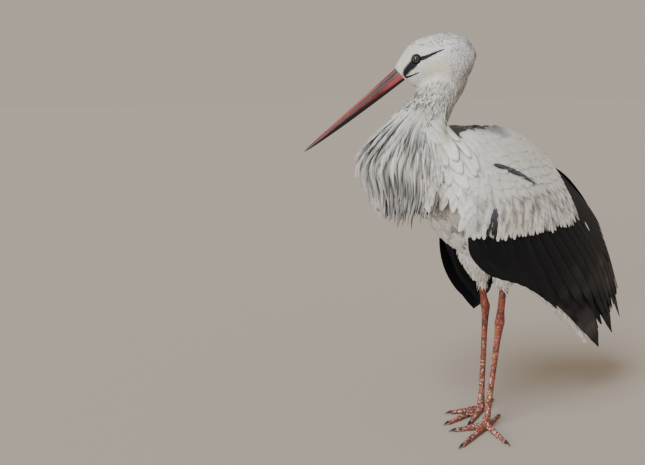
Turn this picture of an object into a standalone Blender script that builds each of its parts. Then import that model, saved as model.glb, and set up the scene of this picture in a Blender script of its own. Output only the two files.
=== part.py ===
"""A white stork standing at rest, life size: still solids, one for each part of the body.

The bird faces -Y with its left side at +X and stands on Z = 0. It is laid out on its
midline, X = 0, with the feet either side of Y = 0, and at the end everything is shifted
so that the origin is under the middle of the model. All sizes are in metres.
"""

import math

import bmesh
import bpy
from mathutils import Euler, Vector

# Driving dimensions
GAP = 0.0003  # between parts that touch
BILL_LENGTH = 0.225
BILL_RIDGE, BILL_FLOOR, BILL_HALF_WIDTH = 0.0132, 0.0132, 0.0115
BILL_TAPER = 0.62  # power of the distance from the tip that the bill's depth follows
BILL_LIFT = 0.004  # how far the tip turns up
EYE_RADIUS = 0.0080
EYE_PLACE = Vector((0.0208, -0.0365, 0.0060))  # left eye, in the head's frame
TOE_LENGTHS = {"middle": 0.098, "outer": 0.068, "inner": 0.068, "hind": 0.058}
TOE_HEADINGS = {  # degrees from -Y towards +X
    "left": {"middle": 23, "outer": 84, "inner": -16, "hind": -154},
    "right": {"middle": 9, "outer": -18, "inner": 32, "hind": 207},
}
TOE_JOINTS = {"middle": 3, "outer": 3, "inner": 2, "hind": 1}
TOE_RADIUS, HIND_TOE_RADIUS = 0.0072, 0.0058  # at the ball
TOE_TAPER, TOE_KNUCKLES, TOE_ARCH = 0.42, 0.08, 0.0045
BALL_RADIUS, BALL_HEIGHT = 0.0094, 0.0115
SOLE_SHARE = 0.86  # height of a toe's middle over its radius, so that it stands on a flat
CLAW_LENGTH, CLAW_TIP_Z = 0.013, 0.0016
FOOT_TOP = 0.020  # height of the ball of the foot, where the tarsus stands on it
BALLS = {"left": Vector((0.032, -0.019, 0)), "right": Vector((-0.032, 0.019, 0))}
ANKLES = {"left": Vector((0.037, -0.004, 0.224)), "right": Vector((-0.0355, 0.020, 0.236))}
KNEES = {"left": Vector((0.046, -0.002, 0.395)), "right": Vector((-0.040, -0.016, 0.385))}

# The head's own frame: it looks to the bird's right, and slightly down
HEAD_AT = Vector((-0.003, -0.1455, 0.732))
HEAD_YAW, HEAD_PITCH = -36.0, -10.0
BILL_PITCH = -30.0  # below the head's own axis

# Lofts along a curve in the side view. A row is one station:
# Y and Z of its centre, half width, reach above the centre and reach below it
TRUNK = (
    (-0.170, 0.571, 0.036, 0.018, 0.026),
    (-0.150, 0.561, 0.074, 0.040, 0.056),
    (-0.108, 0.539, 0.090, 0.063, 0.092),
    (-0.055, 0.500, 0.088, 0.088, 0.120),
    (0.008, 0.447, 0.090, 0.100, 0.114),
    (0.070, 0.393, 0.077, 0.088, 0.086),
    (0.125, 0.338, 0.052, 0.058, 0.048),
    (0.168, 0.293, 0.030, 0.030, 0.022),
)
NECK = (  # from the breast up to the head, so "above" is the nape's side
    (-0.130, 0.470, 0.052, 0.045, 0.058),
    (-0.165, 0.520, 0.064, 0.058, 0.062),
    (-0.190, 0.575, 0.058, 0.052, 0.062),
    (-0.178, 0.624, 0.043, 0.044, 0.053),
    (-0.149, 0.666, 0.035, 0.036, 0.042),
    (-0.125, 0.704, 0.034, 0.042, 0.043),
    (-0.115, 0.738, 0.026, 0.033, 0.032),
)
HEAD = (  # in the head's own frame, from the bill back to the nape
    (-0.0712, -0.0150, 0.0125, 0.0145, 0.0140),
    (-0.0620, -0.0097, 0.0180, 0.0230, 0.0305),
    (-0.0410, -0.0048, 0.0255, 0.0390, 0.0400),
    (-0.0120, -0.0010, 0.0310, 0.0465, 0.0450),
    (0.0200, -0.0045, 0.0330, 0.0475, 0.0470),
    (0.0440, -0.0140, 0.0280, 0.0390, 0.0390),
    (0.0600, -0.0220, 0.0140, 0.0190, 0.0190),
)
NECK_PARTING = 0.56  # share of the neck's length where its two parts meet
THIGH_RADII = (0.030, 0.046, 0.042, 0.030, 0.0185)  # from inside the flank down
THIGH_HEMS = {"left": 0.300, "right": 0.290}  # height of the feathered hem
LEG_FLATNESS = 0.86  # width of the bare leg over its depth
# Bare leg: share of the way from the hem past the ankle, or from there to the foot, and radius
SHANK = ((0.0, 0.0076), (0.35, 0.0076), (0.62, 0.0080), (0.80, 0.0094), (0.95, 0.0110), (1.06, 0.0098))
TARSUS = (
    (0.0, 0.0096),
    (0.06, 0.0084),
    (0.16, 0.0070),
    (0.45, 0.0064),
    (0.78, 0.0066),
    (0.92, 0.0074),
    (1.0, 0.0090),
)

# Folded wing in the side view (Y, Z), from the bend of the wing back to the tip
WING_TOP = (
    (-0.154, 0.590),
    (-0.094, 0.616),
    (0.022, 0.596),
    (0.118, 0.545),
    (0.212, 0.472),
    (0.301, 0.372),
    (0.371, 0.222),
)
WING_HEMS = {
    "left": (
        (-0.168, 0.530),
        (-0.160, 0.474),
        (-0.130, 0.415),
        (-0.065, 0.355),
        (0.035, 0.308),
        (0.155, 0.228),
        (0.244, 0.149),
    ),
    "right": (
        (-0.156, 0.538),
        (-0.128, 0.492),
        (-0.072, 0.444),
        (-0.004, 0.380),
        (0.068, 0.324),
        (0.160, 0.264),
        (0.262, 0.186),
    ),
}
WING_REACH = (  # distance from the midline along the hem, the middle and the top
    (0.080, 0.090, 0.066),
    (0.092, 0.106, 0.044),
    (0.096, 0.111, 0.022),
    (0.092, 0.106, 0.010),
    (0.080, 0.090, 0.007),
    (0.064, 0.066, 0.006),
    (0.048, 0.044, 0.006),
)
WING_THICKNESS = (0.024, 0.034, 0.034, 0.028, 0.020, 0.010, 0.004)
FINGERS, FINGER_DEPTH = 3, 0.026  # tips of the longest quills
FINGER_HEADING = Vector((0, 0.30, -0.95))
QUILL_LEAN = 0.62  # where the point of a quill lies across its width
LOBE = (0.37, 0.571, 0.714)  # where the right wing lets a sheaf of quills hang: start, tip, end
LOBE_DEPTH, LOBE_BULGE = 0.135, 0.029
COVERT_LINE_Z = 0.425  # where the white coverts end over the black quills
COVERT_BACK = ((0.128, 0.0), (0.158, 0.022), (0.134, 0.105), (0.120, 0.375))  # Y, and Z above that line
PRIMARY_LINE = (Vector((0, 0.205, 0.300)), Vector((0, 0.74, -0.67)))

# Tail: stations from the trunk to the end; Y, Z, half width and thickness
TAIL = (
    (0.095, 0.309, 0.036, 0.036),
    (0.150, 0.256, 0.040, 0.023),
    (0.205, 0.206, 0.042, 0.012),
    (0.272, 0.142, 0.044, 0.005),
)
TAIL_FINGERS, TAIL_FINGER_DEPTH = 5, 0.008
TAIL_HEADING = Vector((0, 0.70, -0.71))
TAIL_ARCH, TAIL_ROUNDING = 0.010, 0.016  # rise of its middle, and how far its corners fall back

# Long plumes hanging from the foreneck: Y and Z of the centre, half width, reach forwards and
# how many degrees they go round either side of the front
PLUMES = (
    (-0.150, 0.668, 0.038, 0.050, 94),
    (-0.172, 0.628, 0.050, 0.070, 97),
    (-0.188, 0.585, 0.067, 0.087, 100),
    (-0.192, 0.546, 0.077, 0.095, 98),
    (-0.187, 0.500, 0.075, 0.079, 90),
    (-0.182, 0.462, 0.072, 0.071, 76),
)
PLUME_THICKNESS = (0.010, 0.018, 0.018, 0.018, 0.011, 0.004)
PLUME_POINTS, PLUME_POINT_DEPTH = 7, 0.024
PLUME_HEM_RISE = 0.020  # how much higher the hem would be at the back than in front

COLOURS = {  # base colour, roughness
    "plumage_white": ((0.80, 0.78, 0.73), 0.85),
    "plumage_black": ((0.018, 0.018, 0.020), 0.55),
    "bill_red": ((0.62, 0.13, 0.07), 0.35),
    "leg_red": ((0.58, 0.14, 0.06), 0.55),
    "claw_black": ((0.03, 0.027, 0.025), 0.45),
    "eye_dark": ((0.02, 0.02, 0.02), 0.08),
}


def smooth_row(rows, share):
    """The row at share 0 to 1 of the way through rows, on a smooth curve through them."""
    rows = [Vector(row) for row in rows]
    place = share * (len(rows) - 1)
    index = min(int(place), len(rows) - 2)
    part = place - index
    before, start = rows[max(index - 1, 0)], rows[index]
    end, after = rows[index + 1], rows[min(index + 2, len(rows) - 1)]
    leave, arrive = (end - before) / 2, (after - start) / 2
    squared, cubed = part**2, part**3
    return (
        start * (2 * cubed - 3 * squared + 1)
        + leave * (cubed - 2 * squared + part)
        + end * (3 * squared - 2 * cubed)
        + arrive * (cubed - squared)
    )


def smooth_value(values, share):
    """The same for a list of plain numbers."""
    return smooth_row([(value, 0) for value in values], share)[0]


def collection(name):
    found = bpy.data.collections.new(name)
    bpy.context.scene.collection.children.link(found)
    return found


def material(name):
    """The part's own finish, made once."""
    if name in bpy.data.materials:
        return bpy.data.materials[name]
    made = bpy.data.materials.new(name)
    made.use_nodes = True
    shader = made.node_tree.nodes["Principled BSDF"]
    colour, roughness = COLOURS[name]
    shader.inputs["Base Color"].default_value = (*colour, 1)
    shader.inputs["Roughness"].default_value = roughness
    shader.inputs["Metallic"].default_value = 0
    return made


def node(name, bm, finish, parent=None, smooth_angle=40):
    """A named part from a bmesh; with no finish it is a cutter, which isn't part of the bird."""
    bmesh.ops.recalc_face_normals(bm, faces=bm.faces)
    mesh = bpy.data.meshes.new(name)
    bm.to_mesh(mesh)
    bm.free()
    obj = bpy.data.objects.new(name, mesh)
    if finish:
        mesh.shade_smooth()
        mesh.set_sharp_from_angle(angle=math.radians(smooth_angle))
        mesh.materials.append(material(finish))
        bpy.data.collections["stork"].objects.link(obj)
    else:
        obj.hide_render = True
        obj.display_type = "WIRE"
        bpy.data.collections["cutters"].objects.link(obj)
    obj.parent = parent
    return obj


def boolean(obj, operation, *others):
    for other in others:
        modifier = obj.modifiers.new(operation.lower(), "BOOLEAN")
        modifier.operation = operation
        modifier.solver = "EXACT"
        modifier.object = other
    return obj


def skin_rings(bm, rings, closed=True):
    """Triangles between each ring of vertices and the next, split the same way on any size."""
    for lower, upper in zip(rings, rings[1:]):
        count = len(lower)
        for i in range(count if closed else count - 1):
            j = (i + 1) % count
            bm.faces.new((lower[i], lower[j], upper[j]))
            bm.faces.new((lower[i], upper[j], upper[i]))


def loft(rings):
    """A closed bmesh through rings of points, with flat ends."""
    bm = bmesh.new()
    made = [[bm.verts.new(point) for point in ring] for ring in rings]
    skin_rings(bm, made)
    bm.faces.new(made[0])
    bm.faces.new(made[-1])
    return bm


def oval(centre, side, up, half_width, above, below, sides):
    """An egg-shaped ring of points, wider or flatter above its centre than below."""
    ring = []
    for i in range(sides):
        angle = 2 * math.pi * i / sides
        rise = math.sin(angle)
        ring.append(centre + side * half_width * math.cos(angle) + up * rise * (above if rise > 0 else below))
    return ring


def side_view_rings(rows, count, sides, grow=0.0, first=0.0, last=1.0):
    """Rings square to a curve in the YZ plane. Grow fattens them and lengthens the ends."""
    rings = []
    side = Vector((1, 0, 0))
    for i in range(count):
        share = first + (last - first) * i / (count - 1)
        y, z, half_width, above, below = smooth_row(rows, share)
        ahead = smooth_row(rows, min(share + 0.01, 1)) - smooth_row(rows, max(share - 0.01, 0))
        along = Vector((0, ahead[0], ahead[1])).normalized()
        up = side.cross(along)
        if rows is not NECK:
            up = -up if up.z < 0 else up
        ends = {0: -grow, count - 1: grow}
        centre = Vector((0, y, z)) + along * ends.get(i, 0)
        rings.append(oval(centre, side, up, half_width + grow, above + grow, below + grow, sides))
    return rings


def level_rings(path, radii, sides, flatten):
    """Level rings down an upright path of points; flatten narrows them along X."""
    side, ahead = Vector((flatten, 0, 0)), Vector((0, 1, 0))
    return [oval(point, side, ahead, radius, radius, radius, sides) for point, radius in zip(path, radii)]


def plate(outer, inner):
    """A closed bmesh between two grids of points with the same rows and columns."""
    bm = bmesh.new()
    faces_of = []
    for grid in (outer, inner):
        rows = [[bm.verts.new(point) for point in row] for row in grid]
        skin_rings(bm, rows, closed=False)
        faces_of.append(rows)
    rims = [
        rows[0] + [row[-1] for row in rows[1:]] + rows[-1][-2::-1] + [row[0] for row in rows[-2:0:-1]]
        for rows in faces_of
    ]
    skin_rings(bm, rims)
    return bm


def thickened(point_at, rows, columns, thickness_at, grow=0.0, shift_at=None):
    """Outer and inner grids of a curved plate, whose depth is measured along its normal."""
    outer, inner = [], []
    step = 0.02
    for i in range(rows):
        u = i / (rows - 1)
        outer.append([])
        inner.append([])
        for j in range(columns):
            v = j / (columns - 1)
            here = point_at(u, v)
            along = point_at(min(u + step, 1), v) - point_at(max(u - step, 0), v)
            across = point_at(u, min(v + step, 1)) - point_at(u, max(v - step, 0))
            out = along.cross(across).normalized()
            spread = (along.normalized() * (2 * u - 1) + across.normalized() * (2 * v - 1)) * grow
            if shift_at:
                spread += shift_at(u, v)
            outer[-1].append(here + out * grow + spread)
            inner[-1].append(here - out * (thickness_at(u, v) + grow) + spread)
    return outer, inner


def saw(share, points):
    """0 to 1 and back once for each point, leaning to one side as overlapping quills do."""
    part = share * points % 1.0 if share < 1 else 1.0
    return part / QUILL_LEAN if part < QUILL_LEAN else (1 - part) / (1 - QUILL_LEAN)


# Trunk


def trunk(name, finish, grow=0.0):
    return node(name, loft(side_view_rings(TRUNK, 16, 18, grow)), finish)


# Neck: two lengths, carved where they meet the head and the trunk


def neck_length(name, finish, first, last, grow=0.0):
    return node(name, loft(side_view_rings(NECK, 9, 16, grow, first, last)), finish)


def add_neck():
    lengths = (("neck_lower", 0.0, NECK_PARTING), ("neck_upper", NECK_PARTING + 0.002, 1.0))
    for (name, first, last), neighbour in zip(lengths, ("trunk_room", "head_room")):
        neck_length(name + "_room", None, first, last, GAP)
        length = neck_length(name, "plumage_white", first, last)
        boolean(length, "DIFFERENCE", bpy.data.objects[neighbour])


# Head, bill and eyes, in the head's own frame


def head_shape(name, finish, parent, grow=0.0):
    return node(name, loft(side_view_rings(HEAD, 13, 16, grow)), finish, parent)


def mandible_rings(upper, stations=12, steps=8):
    """Half rings along the bill, closed by the flat cutting edge, ending in a blunt point."""
    blunt, peaked = 0.03, 1.25
    rings = []
    for i in range(stations):
        share = i / (stations - 1)
        taper = max((1 - share) ** BILL_TAPER, blunt)
        half_width = BILL_HALF_WIDTH * taper
        rise = (BILL_RIDGE if upper else -BILL_FLOOR) * taper
        edge = 0.5 * GAP if upper else -0.5 * GAP
        ring = []
        for k in range(steps + 1):
            angle = math.pi * k / steps
            height = edge + BILL_LIFT * share**2 + rise * math.sin(angle) ** peaked
            ring.append(Vector((half_width * math.cos(angle), -1.5 * GAP - BILL_LENGTH * share, height)))
        rings.append(ring)
    return rings


def add_head():
    frame = bpy.data.objects.new("head_frame", None)
    bpy.data.collections["stork"].objects.link(frame)
    frame.location = HEAD_AT
    frame.rotation_euler = Euler((math.radians(-HEAD_PITCH), 0, math.radians(HEAD_YAW)), "XYZ")
    head_shape("head_room", None, frame, GAP)
    head = head_shape("head", "plumage_white", frame)
    front_y, front_z = HEAD[0][:2]
    bill_frame = bpy.data.objects.new("bill_frame", None)
    bpy.data.collections["stork"].objects.link(bill_frame)
    bill_frame.parent = frame
    bill_frame.location = (0, front_y, front_z)
    bill_frame.rotation_euler = (math.radians(-BILL_PITCH), 0, 0)
    for name, upper in (("bill_upper", True), ("bill_lower", False)):
        node(name, loft(mandible_rings(upper)), "bill_red", bill_frame)
    for name, sign in (("eye_left", 1), ("eye_right", -1)):
        place = EYE_PLACE * Vector((sign, 1, 1))
        for part_name, finish, radius in (
            (name, "eye_dark", EYE_RADIUS),
            (name + "_socket", None, EYE_RADIUS + GAP),
        ):
            bm = bmesh.new()
            bmesh.ops.create_uvsphere(bm, u_segments=10, v_segments=7, radius=radius)
            bmesh.ops.translate(bm, verts=bm.verts, vec=place)
            made = node(part_name, bm, finish, frame)
        boolean(head, "DIFFERENCE", made)


# Plumes of the foreneck: a hanging curtain with a pointed hem


def add_plumes():
    def point_at(u, v):
        y, z, half_width, reach, sweep = smooth_row(PLUMES, u)
        angle = math.radians(sweep) * (2 * v - 1)
        hem_rise = PLUME_HEM_RISE * u**3 * (1 - math.cos(angle)) / 2
        return Vector((half_width * math.sin(angle), y - reach * math.cos(angle), z + hem_rise))

    def shift_at(u, v):
        return Vector((0, 0, -PLUME_POINT_DEPTH * saw(v, PLUME_POINTS) * u**6))

    def thickness_at(u, v):
        return smooth_value(PLUME_THICKNESS, u)

    grids = thickened(point_at, 7, 3 * PLUME_POINTS + 1, thickness_at, 0.0, shift_at)
    plumes = node("foreneck_plumes", plate(*grids), "plumage_white")
    rooms = ("trunk_room", "neck_lower_room", "neck_upper_room", "wing_left_room", "wing_right_room")
    boolean(plumes, "DIFFERENCE", *(bpy.data.objects[name] for name in rooms))


# Tail: a blunt fan with a stepped end


def add_tail():
    def point_at(u, v):
        y, z, half_width, _ = smooth_row(TAIL, u)
        across = 2 * v - 1
        return Vector((-half_width * across, y, z + TAIL_ARCH * (1 - across**2)))

    def shift_at(u, v):
        corner = TAIL_ROUNDING * (2 * v - 1) ** 2 * u**2
        return TAIL_HEADING * (TAIL_FINGER_DEPTH * saw(v, TAIL_FINGERS) * u**8 - corner)

    def thickness_at(u, v):
        return smooth_row(TAIL, u)[3] * (1 - 0.7 * (2 * v - 1) ** 2)

    for name, finish, grow in (("tail_room", None, GAP), ("tail", "plumage_white", 0.0)):
        grids = thickened(point_at, 6, 3 * TAIL_FINGERS + 1, thickness_at, grow, shift_at)
        tail = node(name, plate(*grids), finish)
    boolean(tail, "DIFFERENCE", bpy.data.objects["trunk_room"])


# Wings: one curved plate each, parted into coverts, secondaries and primaries


def wing_grids(side, grow=0.0):
    """The outer and inner faces of a folded wing."""
    sign = 1 if side == "left" else -1

    def point_at(u, v):
        v = v if sign > 0 else 1 - v
        hem, top = smooth_row(WING_HEMS[side], u), smooth_row(WING_TOP, u)
        low, middle, high = smooth_row(WING_REACH, u)
        y, z = hem.lerp(top, v)
        rise = 2 * v - 1
        x = middle + (high - low) / 2 * rise + ((low + high) / 2 - middle) * rise**2
        return Vector((sign * x, y, z))

    def shift_at(u, v):
        v = v if sign > 0 else 1 - v
        finger = FINGER_DEPTH * saw(1 - v, FINGERS) * u**10
        shift = FINGER_HEADING * finger
        if side == "right":
            start, tip, end = LOBE
            hang = max(0, min((u - start) / (tip - start), (end - u) / (end - tip)))
            forward = LOBE_BULGE * math.sin(math.pi * hang) if u < tip else 0
            shift += Vector((0, 0.10 * LOBE_DEPTH * hang - forward, -LOBE_DEPTH * hang)) * (1 - v) ** 3
        return shift

    def thickness_at(u, v):
        return smooth_value(WING_THICKNESS, u) * (1 - 0.45 * (2 * v - 1) ** 4)

    return thickened(point_at, 15, 3 * FINGERS + 1, thickness_at, grow, shift_at)


def covert_prism(name, grow):
    """A block through both wings that holds everything in front of and above the coverts' edge."""
    line, front, half_width = COVERT_LINE_Z - grow, -0.40, 0.3
    back = [(y + grow, line + above) for y, above in COVERT_BACK]
    outline = [(front, line), *back, (front, back[-1][1])]
    return node(name, loft([[Vector((x, y, z)) for y, z in outline] for x in (-half_width, half_width)]), None)


def primary_block(name, grow, size=0.6):
    """A block beyond the line where the primaries show past the secondaries."""
    point, away = PRIMARY_LINE[0], PRIMARY_LINE[1].normalized()
    start, end = point - away * grow, point + away * size
    across = Vector((size, 0, 0)).cross(away)
    corners = (start + across, end + across, end - across, start - across)
    aside = Vector((size / 2, 0, 0))
    return node(name, loft([[corner + aside * sign for corner in corners] for sign in (-1, 1)]), None)


def midline_block(name, sign):
    """Everything beyond the midline from a wing on the side of sign."""
    inner, outer = sign * GAP / 2, -sign * 0.3
    outline = ((-0.4, 0), (0.6, 0), (0.6, 0.8), (-0.4, 0.8))
    return node(name, loft([[Vector((x, y, z)) for y, z in outline] for x in (inner, outer)]), None)


def add_wings():
    coverts, coverts_room = covert_prism("coverts_block", 0.0), covert_prism("coverts_room", GAP)
    primaries, primaries_room = primary_block("primaries_block", 0.0), primary_block("primaries_room", GAP)
    rooms = [bpy.data.objects[name] for name in ("trunk_room", "neck_lower_room", "tail_room")]
    for side, sign in (("left", 1), ("right", -1)):
        node(f"wing_{side}_room", plate(*wing_grids(side, GAP)), None)
        beyond = midline_block(f"beyond_wing_{side}", sign)
        for group, finish, kept, cut in (
            ("coverts", "plumage_white", [coverts], []),
            ("secondaries", "plumage_black", [], [coverts_room, primaries_room]),
            ("primaries", "plumage_black", [primaries], [coverts_room]),
        ):
            wing = node(f"wing_{side}_{group}", plate(*wing_grids(side)), finish)
            boolean(wing, "INTERSECT", *kept)
            boolean(wing, "DIFFERENCE", *cut, *rooms, beyond)


# Legs: feathered thigh, bare shank, tarsus, foot with four toes, claws


def thigh_path(side, steps=5):
    knee, ankle = KNEES[side], ANKLES[side]
    share = (knee.z - THIGH_HEMS[side]) / (knee.z - ankle.z)
    return [knee.lerp(ankle, share * i / (steps - 1)) for i in range(steps)]


def add_thigh(side):
    made = node(f"thigh_{side}", loft(level_rings(thigh_path(side), THIGH_RADII, 16, 0.8)), "plumage_white")
    rooms = ["trunk_room", "tail_room", "wing_left_room", "wing_right_room"]
    boolean(made, "DIFFERENCE", *(bpy.data.objects[name] for name in rooms))


def add_shank(side):
    """The bare lower shank and the knobbed ankle joint."""
    hem = thigh_path(side)[-1]
    start = hem + (ANKLES[side] - hem).normalized() * GAP * 1.1
    path = [start.lerp(ANKLES[side], share) for share, _ in SHANK]
    radii = [radius for _, radius in SHANK]
    node(f"shank_{side}", loft(level_rings(path, radii, 12, LEG_FLATNESS)), "leg_red")


def add_tarsus(side):
    """From under the ankle joint down to the ball of the foot."""
    hem = thigh_path(side)[-1]
    top = hem.lerp(ANKLES[side], SHANK[-1][0]) + (ANKLES[side] - hem).normalized() * GAP * 1.1
    bottom = BALLS[side] + Vector((0, 0, FOOT_TOP + GAP))
    path = [top.lerp(bottom, share) for share, _ in TARSUS]
    radii = [radius for _, radius in TARSUS]
    node(f"tarsus_{side}", loft(level_rings(path, radii, 12, LEG_FLATNESS)), "leg_red")


def toe_path(side, toe, count=7):
    """Points of a toe from the ball to its last joint, and their radii with knuckles."""
    heading = math.radians(TOE_HEADINGS[side][toe])
    forward = Vector((math.sin(heading), -math.cos(heading), 0))
    base_radius = HIND_TOE_RADIUS if toe == "hind" else TOE_RADIUS
    path, radii = [], []
    for i in range(count):
        share = i / (count - 1)
        knuckle = TOE_KNUCKLES * math.cos(2 * math.pi * TOE_JOINTS[toe] * share)
        radius = base_radius * (1 - TOE_TAPER * share) * (1 + knuckle)
        arch = TOE_ARCH * (1 - share) ** 3
        point = BALLS[side] + forward * TOE_LENGTHS[toe] * share
        path.append(point + Vector((0, 0, radius * SOLE_SHARE + arch)))
        radii.append(radius)
    return path, radii, forward


def add_foot(side):
    """The ball and four toes, joined, standing on small flats at Z = 0."""
    bm = bmesh.new()
    bmesh.ops.create_uvsphere(bm, u_segments=10, v_segments=6, radius=BALL_RADIUS)
    bmesh.ops.scale(bm, verts=bm.verts, vec=(0.95, 1.0, 1.10))
    bmesh.ops.translate(bm, verts=bm.verts, vec=BALLS[side] + Vector((0, 0, BALL_HEIGHT)))
    foot = node(f"foot_{side}", bm, "leg_red", smooth_angle=60)
    for toe in TOE_LENGTHS:
        path, radii, forward = toe_path(side, toe)
        rings = []
        lateral = Vector((-forward.y, forward.x, 0))
        for point, radius in zip(path, radii):
            rings.append(oval(point, lateral, Vector((0, 0, 1)), radius, radius, radius, 8))
        boolean(foot, "UNION", node(f"toe_{toe}_{side}", loft(rings), None))
        add_claw(side, toe, path[-1], radii[-1], forward)
    floor = bmesh.new()
    bmesh.ops.create_cube(floor, size=1.0)
    bmesh.ops.translate(floor, verts=floor.verts, vec=(0, 0, -0.5))
    boolean(foot, "DIFFERENCE", node(f"floor_{side}", floor, None))
    ceiling = bmesh.new()
    bmesh.ops.create_cube(ceiling, size=0.1)
    bmesh.ops.translate(ceiling, verts=ceiling.verts, vec=BALLS[side] + Vector((0, 0, FOOT_TOP + 0.05)))
    boolean(foot, "DIFFERENCE", node(f"tarsus_end_{side}", ceiling, None))


def add_claw(side, toe, start, radius, forward):
    """A blunt curved claw whose tip comes down to just above the floor."""
    lateral = Vector((-forward.y, forward.x, 0))
    slimmer, arch, stations = 0.80, 0.0008, 4
    rings = []
    for i in range(stations):
        share = i / (stations - 1)
        size = radius * slimmer * (1 - slimmer * share)
        centre = start + forward * (GAP + CLAW_LENGTH * share)
        centre.z = start.z + arch * share - (start.z - CLAW_TIP_Z) * share**2
        rings.append(oval(centre, lateral * slimmer, Vector((0, 0, 1)), size, size, size, 6))
    node(f"claw_{toe}_{side}", loft(rings), "claw_black")


def stand_on_origin():
    """Moves the whole bird so that the origin is under the middle of its box."""
    graph = bpy.context.evaluated_depsgraph_get()
    parts = [obj for obj in bpy.data.collections["stork"].objects if obj.type == "MESH"]
    corners = []
    for obj in parts:
        shown = obj.evaluated_get(graph)
        mesh = shown.to_mesh()
        corners += [shown.matrix_world @ vertex.co for vertex in mesh.vertices]
        shown.to_mesh_clear()
    lowest = [min(corner[axis] for corner in corners) for axis in range(3)]
    highest = [max(corner[axis] for corner in corners) for axis in range(3)]
    shift = Vector((-(lowest[0] + highest[0]) / 2, -(lowest[1] + highest[1]) / 2, -lowest[2]))
    for obj in bpy.data.objects:
        if obj.parent is None:
            obj.location += shift


def main():
    for obj in list(bpy.data.objects):
        bpy.data.objects.remove(obj)
    collection("stork")
    collection("cutters").hide_render = True
    trunk("trunk_room", None, GAP)
    trunk("trunk", "plumage_white")
    add_head()
    add_neck()
    add_tail()
    add_wings()
    add_plumes()
    for side in ("left", "right"):
        add_thigh(side)
        add_shank(side)
        add_tarsus(side)
        add_foot(side)
    stand_on_origin()


main()
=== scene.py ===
"""The looks of the standing white stork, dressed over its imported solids."""

import math

import bmesh
import bpy
import numpy as np
from mathutils import Euler, Matrix, Vector, noise
from mathutils.bvhtree import BVHTree


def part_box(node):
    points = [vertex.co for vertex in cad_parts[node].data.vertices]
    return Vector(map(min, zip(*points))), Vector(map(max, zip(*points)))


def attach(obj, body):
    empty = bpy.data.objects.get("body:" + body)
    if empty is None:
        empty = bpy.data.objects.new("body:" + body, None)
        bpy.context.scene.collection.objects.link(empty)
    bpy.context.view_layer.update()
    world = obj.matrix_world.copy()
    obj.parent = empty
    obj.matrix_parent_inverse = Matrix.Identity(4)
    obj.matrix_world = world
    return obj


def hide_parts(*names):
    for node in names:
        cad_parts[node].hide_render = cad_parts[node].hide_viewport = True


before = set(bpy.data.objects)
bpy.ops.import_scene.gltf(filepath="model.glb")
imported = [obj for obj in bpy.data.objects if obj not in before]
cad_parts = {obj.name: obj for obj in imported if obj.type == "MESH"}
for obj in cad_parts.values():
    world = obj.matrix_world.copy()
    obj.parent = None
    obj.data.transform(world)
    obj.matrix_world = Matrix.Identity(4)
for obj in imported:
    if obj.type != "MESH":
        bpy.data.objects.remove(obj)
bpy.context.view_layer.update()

# Studio. A wide sheet of pale paper lies under the bird. The sky of the room and one broad soft
# sun light paper and bird evenly, and a low sun from in front gives the plumage its form.

FLOOR_COLOUR = (0.424, 0.363, 0.297)
FLOOR_HALF_WIDTH = 14.0
FLOOR_GAP = 0.0003  # keeps the paper clear of the soles
CAMERA_AT, CAMERA_WAY = (1.0888, -0.9445, 0.7125), (-0.8677, 0.4459, -0.2198)
SUNS_AIM = Vector((0, 0, 0.4))
SKY_COLOUR = (0.50, 0.43, 0.36)


def mesh_of(bm, name):
    mesh = bpy.data.meshes.new(name)
    bm.to_mesh(mesh)
    bm.free()
    return mesh


def placed(name, data):
    """A new object that holds the data, at the origin of the scene."""
    obj = bpy.data.objects.new(name, data)
    bpy.context.scene.collection.objects.link(obj)
    return obj


def plain_material(name, **values):
    """A new material, its nodes and its shader, with the shader's sockets set by name."""
    material = bpy.data.materials.new(name)
    material.use_nodes = True
    shader = material.node_tree.nodes["Principled BSDF"]
    for key, value in values.items():
        shader.inputs[key.replace("_", " ")].default_value = value
    return material, material.node_tree, shader


floor_bm = bmesh.new()
bmesh.ops.create_grid(floor_bm, x_segments=1, y_segments=1, size=FLOOR_HALF_WIDTH)
bmesh.ops.translate(floor_bm, verts=floor_bm.verts, vec=(0, 0, -FLOOR_GAP))
floor = placed("floor", mesh_of(floor_bm, "floor"))
paper = plain_material("pale_paper", Base_Color=(*FLOOR_COLOUR, 1), Roughness=0.9)[0]
floor.data.materials.append(paper)

camera_data = bpy.data.cameras.new("camera")
camera_data.sensor_width = 36.0
camera_data.lens = 40.14
camera_data.clip_start = 0.05
camera = placed("camera", camera_data)
camera.location = CAMERA_AT
camera.rotation_euler = Vector(CAMERA_WAY).to_track_quat("-Z", "Y").to_euler()
bpy.context.scene.camera = camera

for lamp_name, place, spread, power, colour in (
    ("soft_sun", (0.50, -1.30, 2.0), 0.45, 3.0, (0.78, 0.88, 1.0)),
    ("low_sun", (1.1, -1.9, 0.70), 0.50, 2.1, (1.0, 0.97, 0.94)),
):
    lamp_data = bpy.data.lights.new(lamp_name, "SUN")
    lamp_data.angle, lamp_data.energy, lamp_data.color = spread, power, colour
    lamp = placed(lamp_name, lamp_data)
    lamp.location = place
    lamp.rotation_euler = (SUNS_AIM - Vector(place)).to_track_quat("-Z", "Y").to_euler()

world = bpy.data.worlds.new("studio")
world.use_nodes = True
world.node_tree.nodes["Background"].inputs["Color"].default_value = (*SKY_COLOUR, 1)
world.node_tree.nodes["Background"].inputs["Strength"].default_value = 1.0
bpy.context.scene.world = world

# Skin. One thin hide covers head, neck, trunk, wings' arms and thighs under the plumage, and
# goes on, bare and scaly, over shanks, tarsi and toes. It is grown whole over the body's
# masses, drawn in by the depth of the coat, and lifts into lids round the eyes.

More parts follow.
